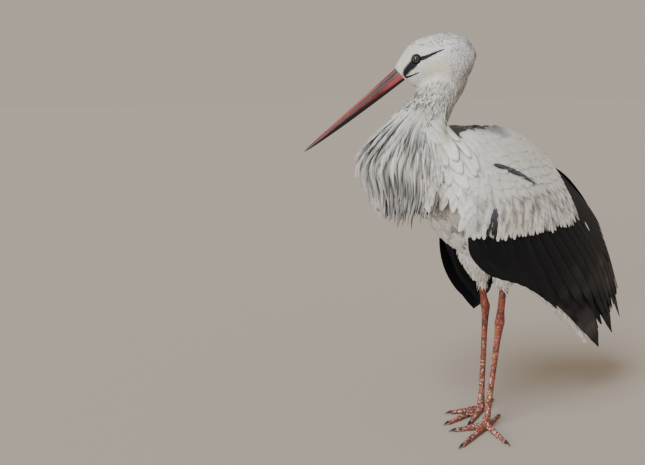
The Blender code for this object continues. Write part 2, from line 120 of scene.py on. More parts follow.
SIGN = {"left": 1, "right": -1}  # the way each side lies along X
PLUMED_FLESH = ["head", "neck_upper", "neck_lower", "trunk"]
PLUMED_FLESH += [f"thigh_{side}" for side in SIGN]
PLUMED_FLESH += [f"wing_{side}_{part}" for part in ("coverts", "secondaries") for side in SIGN]
BARE_FLESH = [f"{part}_{side}" for part in ("shank", "tarsus", "foot") for side in SIGN]
COAT_DEPTH = {"head": 0.0012, "neck": 0.0034, "trun": 0.0050, "thig": 0.0060, "wing": 0.0030}
PLUMED_VOXEL = 0.0040
BARE_VOXEL = 0.0016
SEAM_BRIDGE = 0.0006  # fattens the solids until neighbours merge
DEPTH_ROUNDS = 14  # of smoothing, where one depth of coat goes over into another

trunk_low, trunk_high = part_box("trunk")
ORIGIN = np.array(((trunk_low.x + trunk_high.x) / 2, trunk_low.y + 0.1814, 0.0))
HEAD_AT = Vector((-0.003, -0.1455, 0.732)) + Vector(ORIGIN)
HEAD_TURN = Euler((math.radians(10), 0, math.radians(-36)), "XYZ").to_matrix()
EYES = {side: (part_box(f"eye_{side}")[0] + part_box(f"eye_{side}")[1]) / 2 for side in SIGN}
EYE_AXES = {side: HEAD_TURN @ Vector((0.97 * sign, -0.22, 0.08)) for side, sign in SIGN.items()}
EYE_RADIUS = 0.0080
LID_OPENING = 0.0057


def joined_solids(names, fatten):
    """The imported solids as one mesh, each slightly fattened so that neighbours overlap."""
    bm = bmesh.new()
    for name in names:
        bm.from_mesh(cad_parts[name].data)
    bmesh.ops.remove_doubles(bm, verts=bm.verts, dist=1e-5)
    bm.normal_update()
    for vert in bm.verts:
        vert.co += vert.normal * fatten
    return bm


def with_modifiers(mesh, *modifiers):
    """The mesh that the modifiers make of this one."""
    obj = placed("shaping", mesh)
    for kind, values in modifiers:
        modifier = obj.modifiers.new(kind.lower(), kind)
        for key, value in values.items():
            setattr(modifier, key, value)
    shaped = obj.evaluated_get(bpy.context.evaluated_depsgraph_get())
    made = bpy.data.meshes.new_from_object(shaped)
    bpy.data.objects.remove(obj)
    return made


def mesh_points(mesh):
    points = np.empty(len(mesh.vertices) * 3)
    mesh.vertices.foreach_get("co", points)
    return points.reshape(-1, 3)


def mesh_normals(mesh):
    normals = np.empty(len(mesh.vertices) * 3)
    mesh.vertex_normals.foreach_get("vector", normals)
    return normals.reshape(-1, 3)


def soft_step(value, low, high):
    share = np.clip((np.asarray(value) - low) / (np.asarray(high) - low), 0, 1)
    return share * share * (3 - 2 * share)


def between(value, rise, fall):
    """1 between two soft edges: up over the first pair of values, down over the second."""
    return soft_step(value, *rise) * (1 - soft_step(value, *fall))


def mixed(first, second, share):
    share = np.asarray(share)[..., None]
    return np.asarray(first) * (1 - share) + np.asarray(second) * share


def solids_tree(names):
    """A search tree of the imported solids' faces, and the node that each face belongs to."""
    points, faces, owners = [], [], []
    for name in names:
        mesh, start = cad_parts[name].data, len(points)
        points += [vertex.co.copy() for vertex in mesh.vertices]
        faces += [[start + corner for corner in face.vertices] for face in mesh.polygons]
        owners += [name] * len(mesh.polygons)
    return BVHTree.FromPolygons(points, faces), owners


solid_tree, solid_owner = solids_tree(PLUMED_FLESH)
plumed = with_modifiers(
    mesh_of(joined_solids(PLUMED_FLESH, SEAM_BRIDGE), "plumed"),
    ("REMESH", {"mode": "VOXEL", "voxel_size": PLUMED_VOXEL, "use_smooth_shade": True}),
    ("SMOOTH", {"factor": 0.5, "iterations": 5}),
)
points = mesh_points(plumed)
depths = np.empty(len(points))
for i, point in enumerate(points):
    depths[i] = COAT_DEPTH[solid_owner[solid_tree.find_nearest(point)[2]][:4]]
edges = np.empty(len(plumed.edges) * 2, int)
plumed.edges.foreach_get("vertices", edges)
edges = edges.reshape(-1, 2)
for _ in range(DEPTH_ROUNDS):
    total, count = np.zeros(len(points)), np.zeros(len(points))
    for near_end, far_end in ((0, 1), (1, 0)):
        np.add.at(total, edges[:, near_end], depths[edges[:, far_end]])
        np.add.at(count, edges[:, near_end], 1)
    depths = total / np.maximum(count, 1)
points -= mesh_normals(plumed) * (depths + SEAM_BRIDGE)[:, None]
plumed.vertices.foreach_set("co", points.ravel())

# The hide is worked finer on the face, and the lids rise in two folds round each eye
face_bm = bmesh.new()
face_bm.from_mesh(plumed)
bmesh.ops.remove_doubles(face_bm, verts=face_bm.verts, dist=1e-6)
for reach in (0.021, 0.015):
    close = []
    for edge in face_bm.edges:
        if min((edge.verts[0].co - eye).length for eye in EYES.values()) < reach:
            close.append(edge)
    bmesh.ops.subdivide_edges(face_bm, edges=close, cuts=1, use_grid_fill=True, smooth=0.6)
for vert in face_bm.verts:
    for side, eye in EYES.items():
        away = vert.co - eye
        if away.length > 0.018 or away.dot(EYE_AXES[side]) < 0:
            continue
        off_axis = (away - EYE_AXES[side] * away.dot(EYE_AXES[side])).length
        fold = 0.0010 * math.exp(-(((off_axis - LID_OPENING - 0.0006) / 0.0007) ** 2))
        fold += 0.0005 * math.exp(-(((off_axis - LID_OPENING - 0.0027) / 0.0008) ** 2))
        rest = -0.0012 if off_axis < LID_OPENING else 0.0002
        hold = 1 - float(soft_step(off_axis, 0.0074, 0.0105))
        away.length += (EYE_RADIUS + rest + fold - away.length) * hold
        vert.co = eye + away
plumed_face = mesh_of(face_bm, "plumed_face")

# Bare legs: the shanks run up into the thighs, and small plates roughen their hide
PLATE_SIZE, PLATE_GROOVE = 0.0030, 0.00028
SHANK_INTO_THIGH = Vector((0, 0, 0.022))
leg_bm = joined_solids(BARE_FLESH, SEAM_BRIDGE)
for side, sign in SIGN.items():
    shank_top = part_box(f"shank_{side}")[1].z
    for vert in leg_bm.verts:
        if vert.co.z > shank_top - 0.0015 and (vert.co.x - ORIGIN[0]) * sign > 0:
            vert.co += SHANK_INTO_THIGH
bare = with_modifiers(
    mesh_of(leg_bm, "bare"),
    ("REMESH", {"mode": "VOXEL", "voxel_size": BARE_VOXEL, "use_smooth_shade": True}),
    ("SMOOTH", {"factor": 0.5, "iterations": 2}),
)
points, normals = mesh_points(bare), mesh_normals(bare)
for i, point in enumerate(points):
    near, next_near = noise.voronoi(Vector(point) / PLATE_SIZE)[0][:2]
    groove = max(0.0, 1 - (next_near - near) / 0.28)
    off_sole = float(soft_step(point[2], 0.0004, 0.0030))
    points[i] -= normals[i] * (SEAM_BRIDGE * off_sole + PLATE_GROOVE * groove * off_sole)
points[:, 2] = np.maximum(points[:, 2], 0.0)
bare.vertices.foreach_set("co", points.ravel())


def keep_islands(bm, least):
    """Leaves only the islands of at least so many vertices."""
    unseen = set(bm.verts)
    while unseen:
        start = unseen.pop()
        island, edge_of_search = {start}, [start]
        while edge_of_search:
            vert = edge_of_search.pop()
            for edge in vert.link_edges:
                other = edge.other_vert(vert)
                if other not in island:
                    island.add(other)
                    edge_of_search.append(other)
        unseen -= island
        if len(island) < least:
            bmesh.ops.delete(bm, geom=list(island), context="VERTS")


def link(tree, source, target):
    tree.links.new(source, target)


def shader_node(tree, kind, **values):
    """A shader node with its settings and sockets set by name."""
    node = tree.nodes.new(kind)
    for key, value in values.items():
        if hasattr(node, key):
            setattr(node, key, value)
        else:
            node.inputs[key.replace("_", " ")].default_value = value
    return node


def surface_places(tree):
    return tree.nodes.new("ShaderNodeTexCoord").outputs["Object"]


def texture(tree, kind, places, **values):
    """A texture node of the kind, read at the places."""
    node = shader_node(tree, "ShaderNodeTex" + kind, **values)
    link(tree, places, node.inputs["Vector"])
    return node


def stored_value(tree, name, output="Fac"):
    """What the mesh stores at each vertex under this name."""
    return shader_node(tree, "ShaderNodeAttribute", attribute_name=name).outputs[output]


def bumped(tree, shader, height, strength, distance):
    """Lets the height roughen the shader's surface."""
    bump = shader_node(tree, "ShaderNodeBump", Strength=strength, Distance=distance)
    link(tree, height, bump.inputs["Height"])
    link(tree, bump.outputs["Normal"], shader.inputs["Normal"])


def ramp(tree, source, *stops):
    """A colour ramp fed by source; each stop is a position and a grey or a colour."""
    node = tree.nodes.new("ShaderNodeValToRGB")
    elements = node.color_ramp.elements
    while len(elements) < len(stops):
        elements.new(0.5)
    for element, (position, colour) in zip(elements, stops):
        element.position = position
        element.color = (*colour, 1) if isinstance(colour, tuple) else (colour, colour, colour, 1)
    link(tree, source, node.inputs["Fac"])
    return node.outputs["Color"]


def blended(tree, mode, share, first, second):
    """Two colours mixed; each of share, first and second is a socket or a value."""
    node = tree.nodes.new("ShaderNodeMix")
    node.data_type = "RGBA"
    node.blend_type = mode
    for socket, value in ((node.inputs[0], share), (node.inputs[6], first), (node.inputs[7], second)):
        if isinstance(value, bpy.types.NodeSocket):
            link(tree, value, socket)
        else:
            socket.default_value = value
    return node.outputs[2]


# The hide's markings with painted shade, which the plumage over it repeats. Places are in the row's
# frame.
WHITE = (0.80, 0.78, 0.74)
CREAM = (0.76, 0.69, 0.56)
GREY = (0.29, 0.29, 0.30)
SLATE = (0.055, 0.062, 0.078)
SOOT = (0.007, 0.008, 0.011)
LORE = ((0.0160, -0.0655, -0.0215), (0.0200, -0.0570, -0.0105), (0.0268, -0.0440, -0.0005))
EYE_LINE = (
    (0.0300, -0.0300, 0.0060),
    (0.0304, -0.0205, 0.0072),
    (0.0306, -0.0123, 0.0091),
    (0.0308, 0.0000, 0.0122),
    (0.0304, 0.0128, 0.0148),
)
EYE_PATCH = 0.0094  # radius of the bare black skin round the eye
GAPE_LINE = ((0.0150, -0.0640, -0.0235), (0.0190, -0.0520, -0.0212), (0.0240, -0.0355, -0.0171))
WING_SLIT_SHADE = ((0.1000, -0.0930, 0.5525), (0.0976, -0.0489, 0.5392), (0.0883, 0.0099, 0.5116))


def bird_places(places):
    return np.asarray(places, float) - ORIGIN


def head_places(places):
    """Places in the head's own frame, with both cheeks folded onto the left one."""
    turned = (np.asarray(places, float) - np.array(HEAD_AT)) @ np.array(HEAD_TURN)
    turned[:, 0] = np.abs(turned[:, 0])
    return turned


def along_line(places, line, first_reach, last_reach):
    """1 on a bent line, falling to 0 at its reach, which changes from end to end."""
    best = np.zeros(len(places))
    line = np.asarray(line, float)
    legs = len(line) - 1
    for leg, (start, end) in enumerate(zip(line, line[1:])):
        span = end - start
        share = np.clip((places - start) @ span / (span @ span), 0, 1)
        gap = np.linalg.norm(places - (start + share[:, None] * span), axis=1)
        reach = first_reach + (last_reach - first_reach) * (leg + share) / legs
        best = np.maximum(best, 1 - soft_step(gap / reach, 0.72, 1.08))
    return best


def speckle(places, size, seed):
    """Smooth noise from about -1 to 1 at each place."""
    offset = Vector((seed * 7.3, seed * 3.1, seed * 5.7))
    return np.array([noise.noise(Vector(place) / size + offset) for place in places])


def near_eyes(places):
    """Distance off the nearer eye's axis, in metres, for places in front of it."""
    best = np.full(len(places), 1.0)
    for side, eye in EYES.items():
        away = places - np.array(eye)
        out = away @ np.array(EYE_AXES[side])
        off = np.linalg.norm(away - out[:, None] * np.array(EYE_AXES[side]), axis=1)
        best = np.minimum(best, np.where(out > -0.002, off, 1.0))
    return best


def lore_share(places):
    """1 on the black skin between eye and bill, round the eye and in the line behind it."""
    head = head_places(places)
    black = along_line(head, LORE, 0.0052, 0.0098)
    black = np.maximum(black, along_line(head, EYE_LINE, 0.0062, 0.0011))
    return np.maximum(black, 1 - soft_step(near_eyes(places), EYE_PATCH - 0.0005, EYE_PATCH + 0.0007))


def streaks(places, size, length, seed):
    """Noise drawn out along the height, as on feathers that hang side by side."""
    drawn = np.asarray(places) * (1, 1, size / length)
    return speckle(drawn, size, seed)


def mantle_share(places):
    """1 on the dark mantle between the shoulders, behind the neck: partly the far scapulars' own
    slate, partly painted shade.
    """
    bird = bird_places(places)
    mantle = between(bird[:, 2], (0.584, 0.598), (0.620, 0.632))
    mantle *= between(bird[:, 1], (-0.150, -0.130), (-0.030, 0.020))
    return mantle * (1 - soft_step(np.abs(bird[:, 0] + 0.002), 0.044, 0.060))


def marks_and_painted_shade(places):
    """The colour of hide and plumage at each place, painted shade included."""
    bird, head = bird_places(places), head_places(places)
    broad, fine = speckle(bird, 0.050, 1), speckle(bird, 0.014, 2)
    colour = mixed(WHITE, CREAM, soft_step(broad, 0.0, 0.5) * 0.55)
    colour = mixed(colour, GREY, soft_step(fine, 0.20, 0.75) * 0.30)
    on_head = 1 - soft_step(np.linalg.norm(head - (0, -0.002, 0), axis=1), 0.062, 0.080)
    off_cheek = np.linalg.norm((head - (0.028, -0.008, -0.014)) / (1, 1.3, 0.8), axis=1)
    cheek = 1 - soft_step(off_cheek, 0.008, 0.026)
    colour = mixed(colour, (0.78, 0.70, 0.53), cheek * on_head * 0.70)
    crown = soft_step(head[:, 2] + 0.35 * head[:, 1], 0.024, 0.048) * on_head
    colour = mixed(colour, GREY, crown * (0.12 + 0.40 * soft_step(fine, -0.2, 0.5)))
    # The back of the neck is grey: partly its own grey streaks, partly painted shade on the side
    # turned from the light.
    nape_grey_and_shade = soft_step(head[:, 1], 0.014, 0.052) * soft_step(bird[:, 2], 0.595, 0.640)
    colour = mixed(colour, GREY, nape_grey_and_shade * (0.22 + 0.45 * soft_step(fine, -0.3, 0.4)))
    breast = between(bird[:, 1], (-0.215, -0.180), (-0.120, -0.080))
    breast *= between(bird[:, 2], (0.415, 0.440), (0.530, 0.560))
    spots = soft_step(streaks(bird, 0.0075, 0.020, 3), 0.22, 0.55)
    colour = mixed(colour, GREY, breast * spots * 0.60)
    # Painted shade: grey-brown streaks between the hanging coverts, low on the wing.
    hung_shade_streaks = soft_step(bird[:, 1], -0.150, -0.120) * (1 - soft_step(bird[:, 2], 0.478, 0.505))
    hung_shade_streaks *= soft_step(bird[:, 2], 0.405, 0.425)
    hung_shade_streaks *= soft_step(streaks(bird, 0.0085, 0.034, 4), -0.16, 0.30)
    colour = mixed(colour, (0.255, 0.235, 0.222), hung_shade_streaks * 0.9)
    # Painted shade: a grey-brown crease under the chin, where it meets the neck.
    chin_crease_shade = np.linalg.norm((head - (0, -0.030, -0.049)) / (1.3, 1.5, 0.5), axis=1)
    colour = mixed(colour, (0.30, 0.28, 0.26), (1 - soft_step(chin_crease_shade, 0.008, 0.024)) * 0.6)
    # The mantle's slate: partly the far scapulars' own dark, partly painted shade behind the neck.
    colour = mixed(colour, (0.235, 0.240, 0.262), mantle_share(places) * 0.92)
    back_cream = soft_step(bird[:, 1], -0.090, -0.040) * soft_step(bird[:, 2], 0.520, 0.560)
    colour = mixed(colour, (0.70, 0.66, 0.56), back_cream * (1 - mantle_share(places)) * 0.5)
    # Painted shadow: slate in the slit under the scapulars' lower edge.
    colour = mixed(colour, SLATE, along_line(bird, WING_SLIT_SHADE, 0.0040, 0.0075) * 0.60)
    colour = mixed(colour, SOOT, along_line(head, GAPE_LINE, 0.0030, 0.0010) * 0.9)
    return mixed(colour, SOOT, lore_share(places))


EDGE_Y, EDGE_Z, EDGE_SLOPE = 0.134, 0.53, 0.29  # where the white coverts end behind, and its lean


def past_edge(bird):
    """How far back each place lies, measured square to the coverts' leaning hinder edge."""
    return bird[:, 1] + EDGE_SLOPE * (bird[:, 2] - EDGE_Z)


def flight_share(places):
    """How far a place lies in the black part of the folded wings."""
    bird = bird_places(places)
    below = 1 - soft_step(bird[:, 2], 0.419, 0.427)
    behind = soft_step(past_edge(bird), 0.130, 0.138)
    slim = 0.024 * soft_step(bird[:, 1], 0.10, 0.20)
    wide = soft_step(np.abs(bird[:, 0]), 0.058 - slim, 0.070 - slim)
    ahead = soft_step(bird[:, 1], -0.150, -0.130)
    return np.maximum(below * wide * ahead, behind)


# Thighs and hide joined, the finished skin unwrapped, marked and given its two finishes
skin_bm = bmesh.new()
skin_bm.from_mesh(plumed_face)
keep_islands(skin_bm, 1000)
skin_mesh = mesh_of(skin_bm, "skin")
leg_tool = placed("legs_to_join", bare)
plumed_hide, plumed_tree, plumed_shader = plain_material(
    "plumed_hide", Roughness=0.6, Specular_IOR_Level=0.2
)
leg_hide, leg_tree, leg_shader = plain_material("leg_hide", Roughness=0.5)
for material in (plumed_hide, leg_hide):
    skin_mesh.materials.append(material)
    bare.materials.append(material)
bare.polygons.foreach_set("material_index", np.ones(len(bare.polygons), int))
joining = {"operation": "UNION", "solver": "EXACT", "object": leg_tool}
skin_mesh = with_modifiers(skin_mesh, ("BOOLEAN", joining))
bpy.data.objects.remove(leg_tool)
skin = placed("skin", skin_mesh)
skin_mesh.shade_smooth()
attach(skin, "root")
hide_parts(*PLUMED_FLESH, *BARE_FLESH)

skin_mesh.uv_layers.new(name="OFBake")
bpy.context.view_layer.objects.active = skin
skin.select_set(True)
bpy.ops.object.mode_set(mode="EDIT")
bpy.ops.mesh.select_all(action="SELECT")
bpy.ops.uv.smart_project(angle_limit=1.15, island_margin=0.001)
bpy.ops.object.mode_set(mode="OBJECT")
skin.select_set(False)


def set_colours(mesh, name, colours):
    """A colour for each vertex, as an attribute that the materials read."""
    attribute = mesh.attributes.new(name, "FLOAT_COLOR", "POINT")
    full = np.ones((len(colours), 4), np.float32)
    full[:, :3] = colours
    attribute.data.foreach_set("color", full.ravel())


def set_values(mesh, name, values):
    attribute = mesh.attributes.new(name, "FLOAT", "POINT")
    attribute.data.foreach_set("value", np.array(values, np.float32))


skin_points, skin_vertex_normals = mesh_points(skin_mesh), mesh_normals(skin_mesh)
set_colours(skin_mesh, "marks_and_painted_light", mixed(marks_and_painted_shade(skin_points), SOOT, flight_share(skin_points)))

# The plumed hide shows only at the lores and the lids: fine wrinkles and pits in black skin
tree = plumed_tree
place = surface_places(tree)
pits = texture(tree, "Voronoi", place, Scale=900.0, feature="DISTANCE_TO_EDGE")
wrinkle = texture(tree, "Noise", place, Scale=350.0, Detail=5.0)
shade = ramp(tree, wrinkle.outputs["Fac"], (0.3, 0.72), (0.7, 1.0))
colour = blended(tree, "MULTIPLY", 1.0, stored_value(tree, "marks_and_painted_light", "Color"), shade)
link(tree, colour, plumed_shader.inputs["Base Color"])
relief = blended(tree, "MIX", 0.5, pits.outputs["Distance"], wrinkle.outputs["Fac"])
bumped(tree, plumed_shader, relief, 0.6, 0.0004)

# Bare leg hide: orange red, darkened behind as painted shade, with pale worn flakes on the lower leg
# and toes, heaviest where lit as a painted highlight
tree = leg_tree
place = surface_places(tree)
plates = texture(tree, "Voronoi", place, Scale=1 / PLATE_SIZE, feature="DISTANCE_TO_EDGE")
cells = texture(tree, "Voronoi", place, Scale=1 / PLATE_SIZE)
stain = texture(tree, "Noise", place, Scale=42.0, Detail=4.0)
flake = texture(tree, "Noise", place, Scale=260.0, Detail=6.0, Roughness=0.62)
reds = ((0.32, (0.10, 0.021, 0.012)), (0.5, (0.26, 0.054, 0.026)), (0.68, (0.43, 0.108, 0.053)))
colour = ramp(tree, stain.outputs["Fac"], *reds)
tone = ramp(tree, cells.outputs["Distance"], (0.0, 1.0), (0.9, 0.62))
colour = blended(tree, "MULTIPLY", 0.8, colour, tone)
groove = ramp(tree, plates.outputs["Distance"], (0.0, 0.42), (0.10, 1.0))
colour = blended(tree, "MULTIPLY", 0.85, colour, groove)
parts = tree.nodes.new("ShaderNodeSeparateColor")
link(tree, stored_value(tree, "marks_and_painted_light", "Color"), parts.inputs["Color"])
# Painted shade: the hinder side of the legs darkened to dark brown.
colour = blended(tree, "MIX", parts.outputs["Green"], colour, (0.060, 0.022, 0.016, 1))
worn = ramp(tree, flake.outputs["Fac"], (0.53, 0.0), (0.62, 1.0))
worn = blended(tree, "MULTIPLY", 1.0, worn, parts.outputs["Red"])
colour = blended(tree, "MIX", worn, colour, (0.66, 0.55, 0.48, 1))
link(tree, colour, leg_shader.inputs["Base Color"])
bumped(tree, leg_shader, flake.outputs["Fac"], 0.5, 0.0003)

# Red holds the pale worn flakes, more on faces turned up and forward as a painted highlight; green
# holds painted shade on the hinder side
leg_verts = set()
for face in skin_mesh.polygons:
    if face.material_index == 1:
        leg_verts.update(face.vertices)
leg_verts = np.array(sorted(leg_verts))
low = 1 - soft_step(skin_points[leg_verts, 2], 0.03, 0.30)
leg_normals = skin_vertex_normals[leg_verts]
# Painted shade on the hinder side; a painted highlight, as more pale flakes, on faces turned up and
# forward.
behind = soft_step(leg_normals[:, 1] - 0.35 * leg_normals[:, 0], 0.1, 0.9)
lit = soft_step(leg_normals[:, 2] - leg_normals[:, 1], -0.1, 0.6)
leg_mask = np.zeros((len(leg_verts), 4), np.float32)
leg_mask[:, 0] = (0.15 + 0.85 * low) * (0.30 + 0.70 * lit)
leg_mask[:, 1] = behind * (0.45 + 0.45 * soft_step(skin_points[leg_verts, 2], 0.10, 0.28))
leg_mask[:, 3] = 1
stored = np.empty(len(skin_mesh.vertices) * 4, np.float32)
skin_mesh.attributes["marks_and_painted_light"].data.foreach_get("color", stored)
stored = stored.reshape(-1, 4)
stored[leg_verts] = leg_mask
skin_mesh.attributes["marks_and_painted_light"].data.foreach_set("color", stored.ravel())

# Small plumage. Thousands of short soft feathers clothe the stork from the bill to the hems
# of the thighs. Each grows from a pore in the hide, lies back along the body and covers the
# root of the next, hair-fine on the face and broad on the breast and belly.

skin_mesh.calc_loop_triangles()
tri_verts = np.empty(len(skin_mesh.loop_triangles) * 3, int)
skin_mesh.loop_triangles.foreach_get("vertices", tri_verts)
tri_verts = tri_verts.reshape(-1, 3)
tri_loops = np.empty(len(skin_mesh.loop_triangles) * 3, int)
skin_mesh.loop_triangles.foreach_get("loops", tri_loops)
skin_uv = np.empty(len(skin_mesh.loops) * 2)
skin_mesh.uv_layers["OFBake"].data.foreach_get("uv", skin_uv)
tri_uv = skin_uv.reshape(-1, 2)[tri_loops].reshape(-1, 3, 2)
tri_corners = skin_points[tri_verts]
tri_normals = skin_vertex_normals[tri_verts].mean(axis=1)
tri_normals /= np.linalg.norm(tri_normals, axis=1)[:, None]
tri_sides = tri_corners[:, 1:] - tri_corners[:, :1]
tri_areas = np.linalg.norm(np.cross(tri_sides[:, 0], tri_sides[:, 1]), axis=1) / 2
tri_centres = tri_corners.mean(axis=1)
skin_tree = BVHTree.FromPolygons(skin_points.tolist(), tri_verts.tolist())


def settled(places):
    """The nearest places on the hide, the normals there and the triangles they lie in."""
    found = [skin_tree.find_nearest(place) for place in places.tolist()]
    index = np.array([hit[2] for hit in found])
    return np.array([hit[0][:] for hit in found]), tri_normals[index], index


def bake_spots(places, index):
    """Where each root lies on the hide's own unwrap."""
    first, second, third = (tri_corners[index, corner] for corner in range(3))
    one, two, to = second - first, third - first, places - first
    oo, ot, tt = (one * one).sum(1), (one * two).sum(1), (two * two).sum(1)
    po, pt = (to * one).sum(1), (to * two).sum(1)
    scale = np.maximum(oo * tt - ot * ot, 1e-18)
    b, c = (tt * po - ot * pt) / scale, (oo * pt - ot * po) / scale
    uv = tri_uv[index]
    return uv[:, 0] * (1 - b - c)[:, None] + uv[:, 1] * b[:, None] + uv[:, 2] * c[:, None]


TRIES_PER_ROOT = 4.5  # darts thrown for each square of spacing, so that few gaps stay open


def scattered(chosen, spacing, seed):
    """Roots over the chosen triangles, none closer together than the spacing."""
    rng = np.random.default_rng(seed)
    areas = tri_areas[chosen]
    count = int(areas.sum() / spacing**2 * TRIES_PER_ROOT)
    index = rng.choice(chosen, count, p=areas / areas.sum())
    b, c = rng.random(count), rng.random(count)
    b, c = np.where(b + c > 1, 1 - b, b), np.where(b + c > 1, 1 - c, c)
    first, second, third = (tri_corners[index, corner] for corner in range(3))
    places = first + (second - first) * b[:, None] + (third - first) * c[:, None]
    taken, kept = {}, []
    cells = np.floor(places / spacing).astype(int).tolist()
    near = [(i, j, k) for i in (-1, 0, 1) for j in (-1, 0, 1) for k in (-1, 0, 1)]
    for number, (cell, place) in enumerate(zip(cells, places.tolist())):
        for step in near:
            other = taken.get((cell[0] + step[0], cell[1] + step[1], cell[2] + step[2]))
            if other and math.dist(other, place) < spacing:
                break
        else:
            taken[tuple(cell)] = place
            kept.append(number)
    return places[kept], index[kept]


def smooth_rows(rows, share):
    """Rows at each share from 0 to 1 of a smooth curve through the given rows."""
    rows = np.asarray(rows, float)
    place = np.clip(np.asarray(share, float), 0, 1) * (len(rows) - 1)
    index = np.minimum(place.astype(int), len(rows) - 2)
    part = place - index
    if rows.ndim > 1:
        part = part[..., None]
    before, start = rows[np.maximum(index - 1, 0)], rows[index]
    end, after = rows[index + 1], rows[np.minimum(index + 2, len(rows) - 1)]
    leave, arrive = (end - before) / 2, (after - start) / 2
    return (
        start * (2 * part**3 - 3 * part**2 + 1)
        + leave * (part**3 - 2 * part**2 + part)
        + end * (3 * part**2 - 2 * part**3)
        + arrive * (part**3 - part**2)
    )


def unit(vectors):
    return vectors / np.maximum(np.linalg.norm(vectors, axis=-1, keepdims=True), 1e-9)


# The lie of the coat: places along head, neck, trunk and thighs, each with its heading
LIE_ON_HEAD = (
    ((0, -0.064, 0.000), (0, 1.0, 0.45)),
    ((0, -0.052, -0.026), (0, 1.0, -0.10)),
    ((0, -0.052, -0.042), (0, 1.0, -0.15)),
    ((0, -0.020, 0.010), (0, 1.0, 0.10)),
    ((0, -0.020, -0.035), (0, 1.0, -0.35)),
    ((0, 0.020, 0.010), (0, 1.0, -0.25)),
    ((0, 0.015, -0.035), (0, 0.75, -1.0)),
    ((0, 0.052, -0.005), (0, 0.45, -1.0)),
    ((0, 0.045, -0.045), (0, -0.1, -1.0)),
)
LIE_ON_BODY = (
    ((0, -0.118, 0.720), (0, 0.05, -1.0)),
    ((0, -0.095, 0.690), (0, -0.45, -1.0)),
    ((0, -0.160, 0.680), (0, -0.75, -1.0)),
    ((0, -0.141, 0.655), (0, -0.60, -1.0)),
    ((0, -0.176, 0.624), (0, -0.25, -1.0)),
    ((0, -0.215, 0.600), (0, -0.30, -1.0)),
    ((0, -0.190, 0.560), (0, 0.15, -1.0)),
    ((0, -0.130, 0.600), (0, 0.25, -1.0)),
    ((0, -0.165, 0.500), (0, 0.45, -1.0)),
    ((0, -0.120, 0.440), (0, 0.70, -1.0)),
    ((0, -0.060, 0.380), (0, 0.80, -0.85)),
    ((0, 0.010, 0.340), (0, 0.90, -0.70)),
    ((0, 0.090, 0.290), (0, 0.90, -0.80)),
    ((0, -0.080, 0.610), (0, 1.0, -0.12)),
    ((0, 0.010, 0.590), (0, 1.0, -0.40)),
    ((0, 0.100, 0.510), (0, 1.0, -0.70)),
    ((0.045, -0.003, 0.345), (0, 0.15, -1.0)),
    ((-0.042, -0.010, 0.335), (0, 0.15, -1.0)),
    ((0.042, -0.003, 0.300), (0, 0.05, -1.0)),
    ((-0.038, 0.000, 0.290), (0, 0.05, -1.0)),
)
HEAD_LIE_REACH, BODY_LIE_REACH = 0.016, 0.030  # how far each heading counts
lie = [
    (HEAD_AT + HEAD_TURN @ Vector(at), HEAD_TURN @ Vector(way), HEAD_LIE_REACH)
    for at, way in LIE_ON_HEAD
]
lie += [(np.array(at) + ORIGIN, way, BODY_LIE_REACH) for at, way in LIE_ON_BODY]
lie_at, lie_way, lie_reach = (np.array(column) for column in zip(*lie))
lie_way = unit(lie_way)


COAT_WANDER = 0.14  # how far feathers stray from the lie of the coat, as an angle


def coat_lie(places, normals):
    """The way the coat lies at each place on the hide."""
    gaps = ((places[:, None, :] - lie_at[None]) ** 2).sum(2)
    near = -gaps / (2 * lie_reach[None] ** 2)
    weights = np.exp(near - near.max(axis=1)[:, None])
    way = weights @ lie_way
    return unit(way - normals * (way * normals).sum(1)[:, None])


def turned_about(ways, normals, angles):
    return ways * np.cos(angles)[:, None] + np.cross(normals, ways) * np.sin(angles)[:, None]


def hide_paths(roots, index, lengths, rows, seed):
    """A path over the hide for each feather, from its root to its tip, with normals."""
    rng = np.random.default_rng(seed)
    angles = rng.normal(0, COAT_WANDER, len(roots))
    points, normals = [roots], [tri_normals[index]]
    for _ in range(rows):
        way = turned_about(coat_lie(points[-1], normals[-1]), normals[-1], angles)
        place, normal, _ = settled(points[-1] + way * (lengths / rows)[:, None])
        points.append(place)
        normals.append(normal)
    return np.stack(points, 1), np.stack(normals, 1)


def vane_form(rows, columns):
    """One closed lens-shaped vane: across it, along it, its side, faces and which lie under."""
    bm = bmesh.new()
    bmesh.ops.create_grid(bm, x_segments=columns, y_segments=rows, size=1)
    upper = bm.faces[:]
    lower = bmesh.ops.duplicate(bm, geom=bm.verts[:] + bm.edges[:] + bm.faces[:])["geom"]
    lower_faces = [item for item in lower if isinstance(item, bmesh.types.BMFace)]
    bmesh.ops.reverse_faces(bm, faces=lower_faces)
    for faces, sign in ((upper, 1), (lower_faces, -1)):
        for vert in {vert for face in faces for vert in face.verts}:
            if abs(vert.co.x) < 0.999 and abs(vert.co.y) < 0.999:
                vert.co.z = sign
    bmesh.ops.remove_doubles(bm, verts=bm.verts, dist=1e-4)
    bm.verts.index_update()
    co = np.array([vert.co[:] for vert in bm.verts])
    faces = np.array([[vert.index for vert in face.verts] for face in bm.faces])
    under = np.array([face.calc_center_median().z < 0 for face in bm.faces])
    bm.free()
    return co[:, 0], (co[:, 1] + 1) / 2, co[:, 2], faces, under


ROUND_VANE = (0.30, 0.72, 0.95, 1.0, 0.92, 0.62, 0.14)
BLUNT_VANE = (0.30, 0.70, 0.92, 1.0, 1.0, 0.90, 0.46)
LANCE_VANE = (0.40, 0.80, 1.0, 0.95, 0.74, 0.42, 0.05)
QUILL_VANE = (0.22, 0.55, 0.86, 1.0, 1.0, 0.97, 0.88, 0.66, 0.10)
PATCH = 0.0030  # each feather's patch on the bake map
VANE_CREASE = math.radians(50)


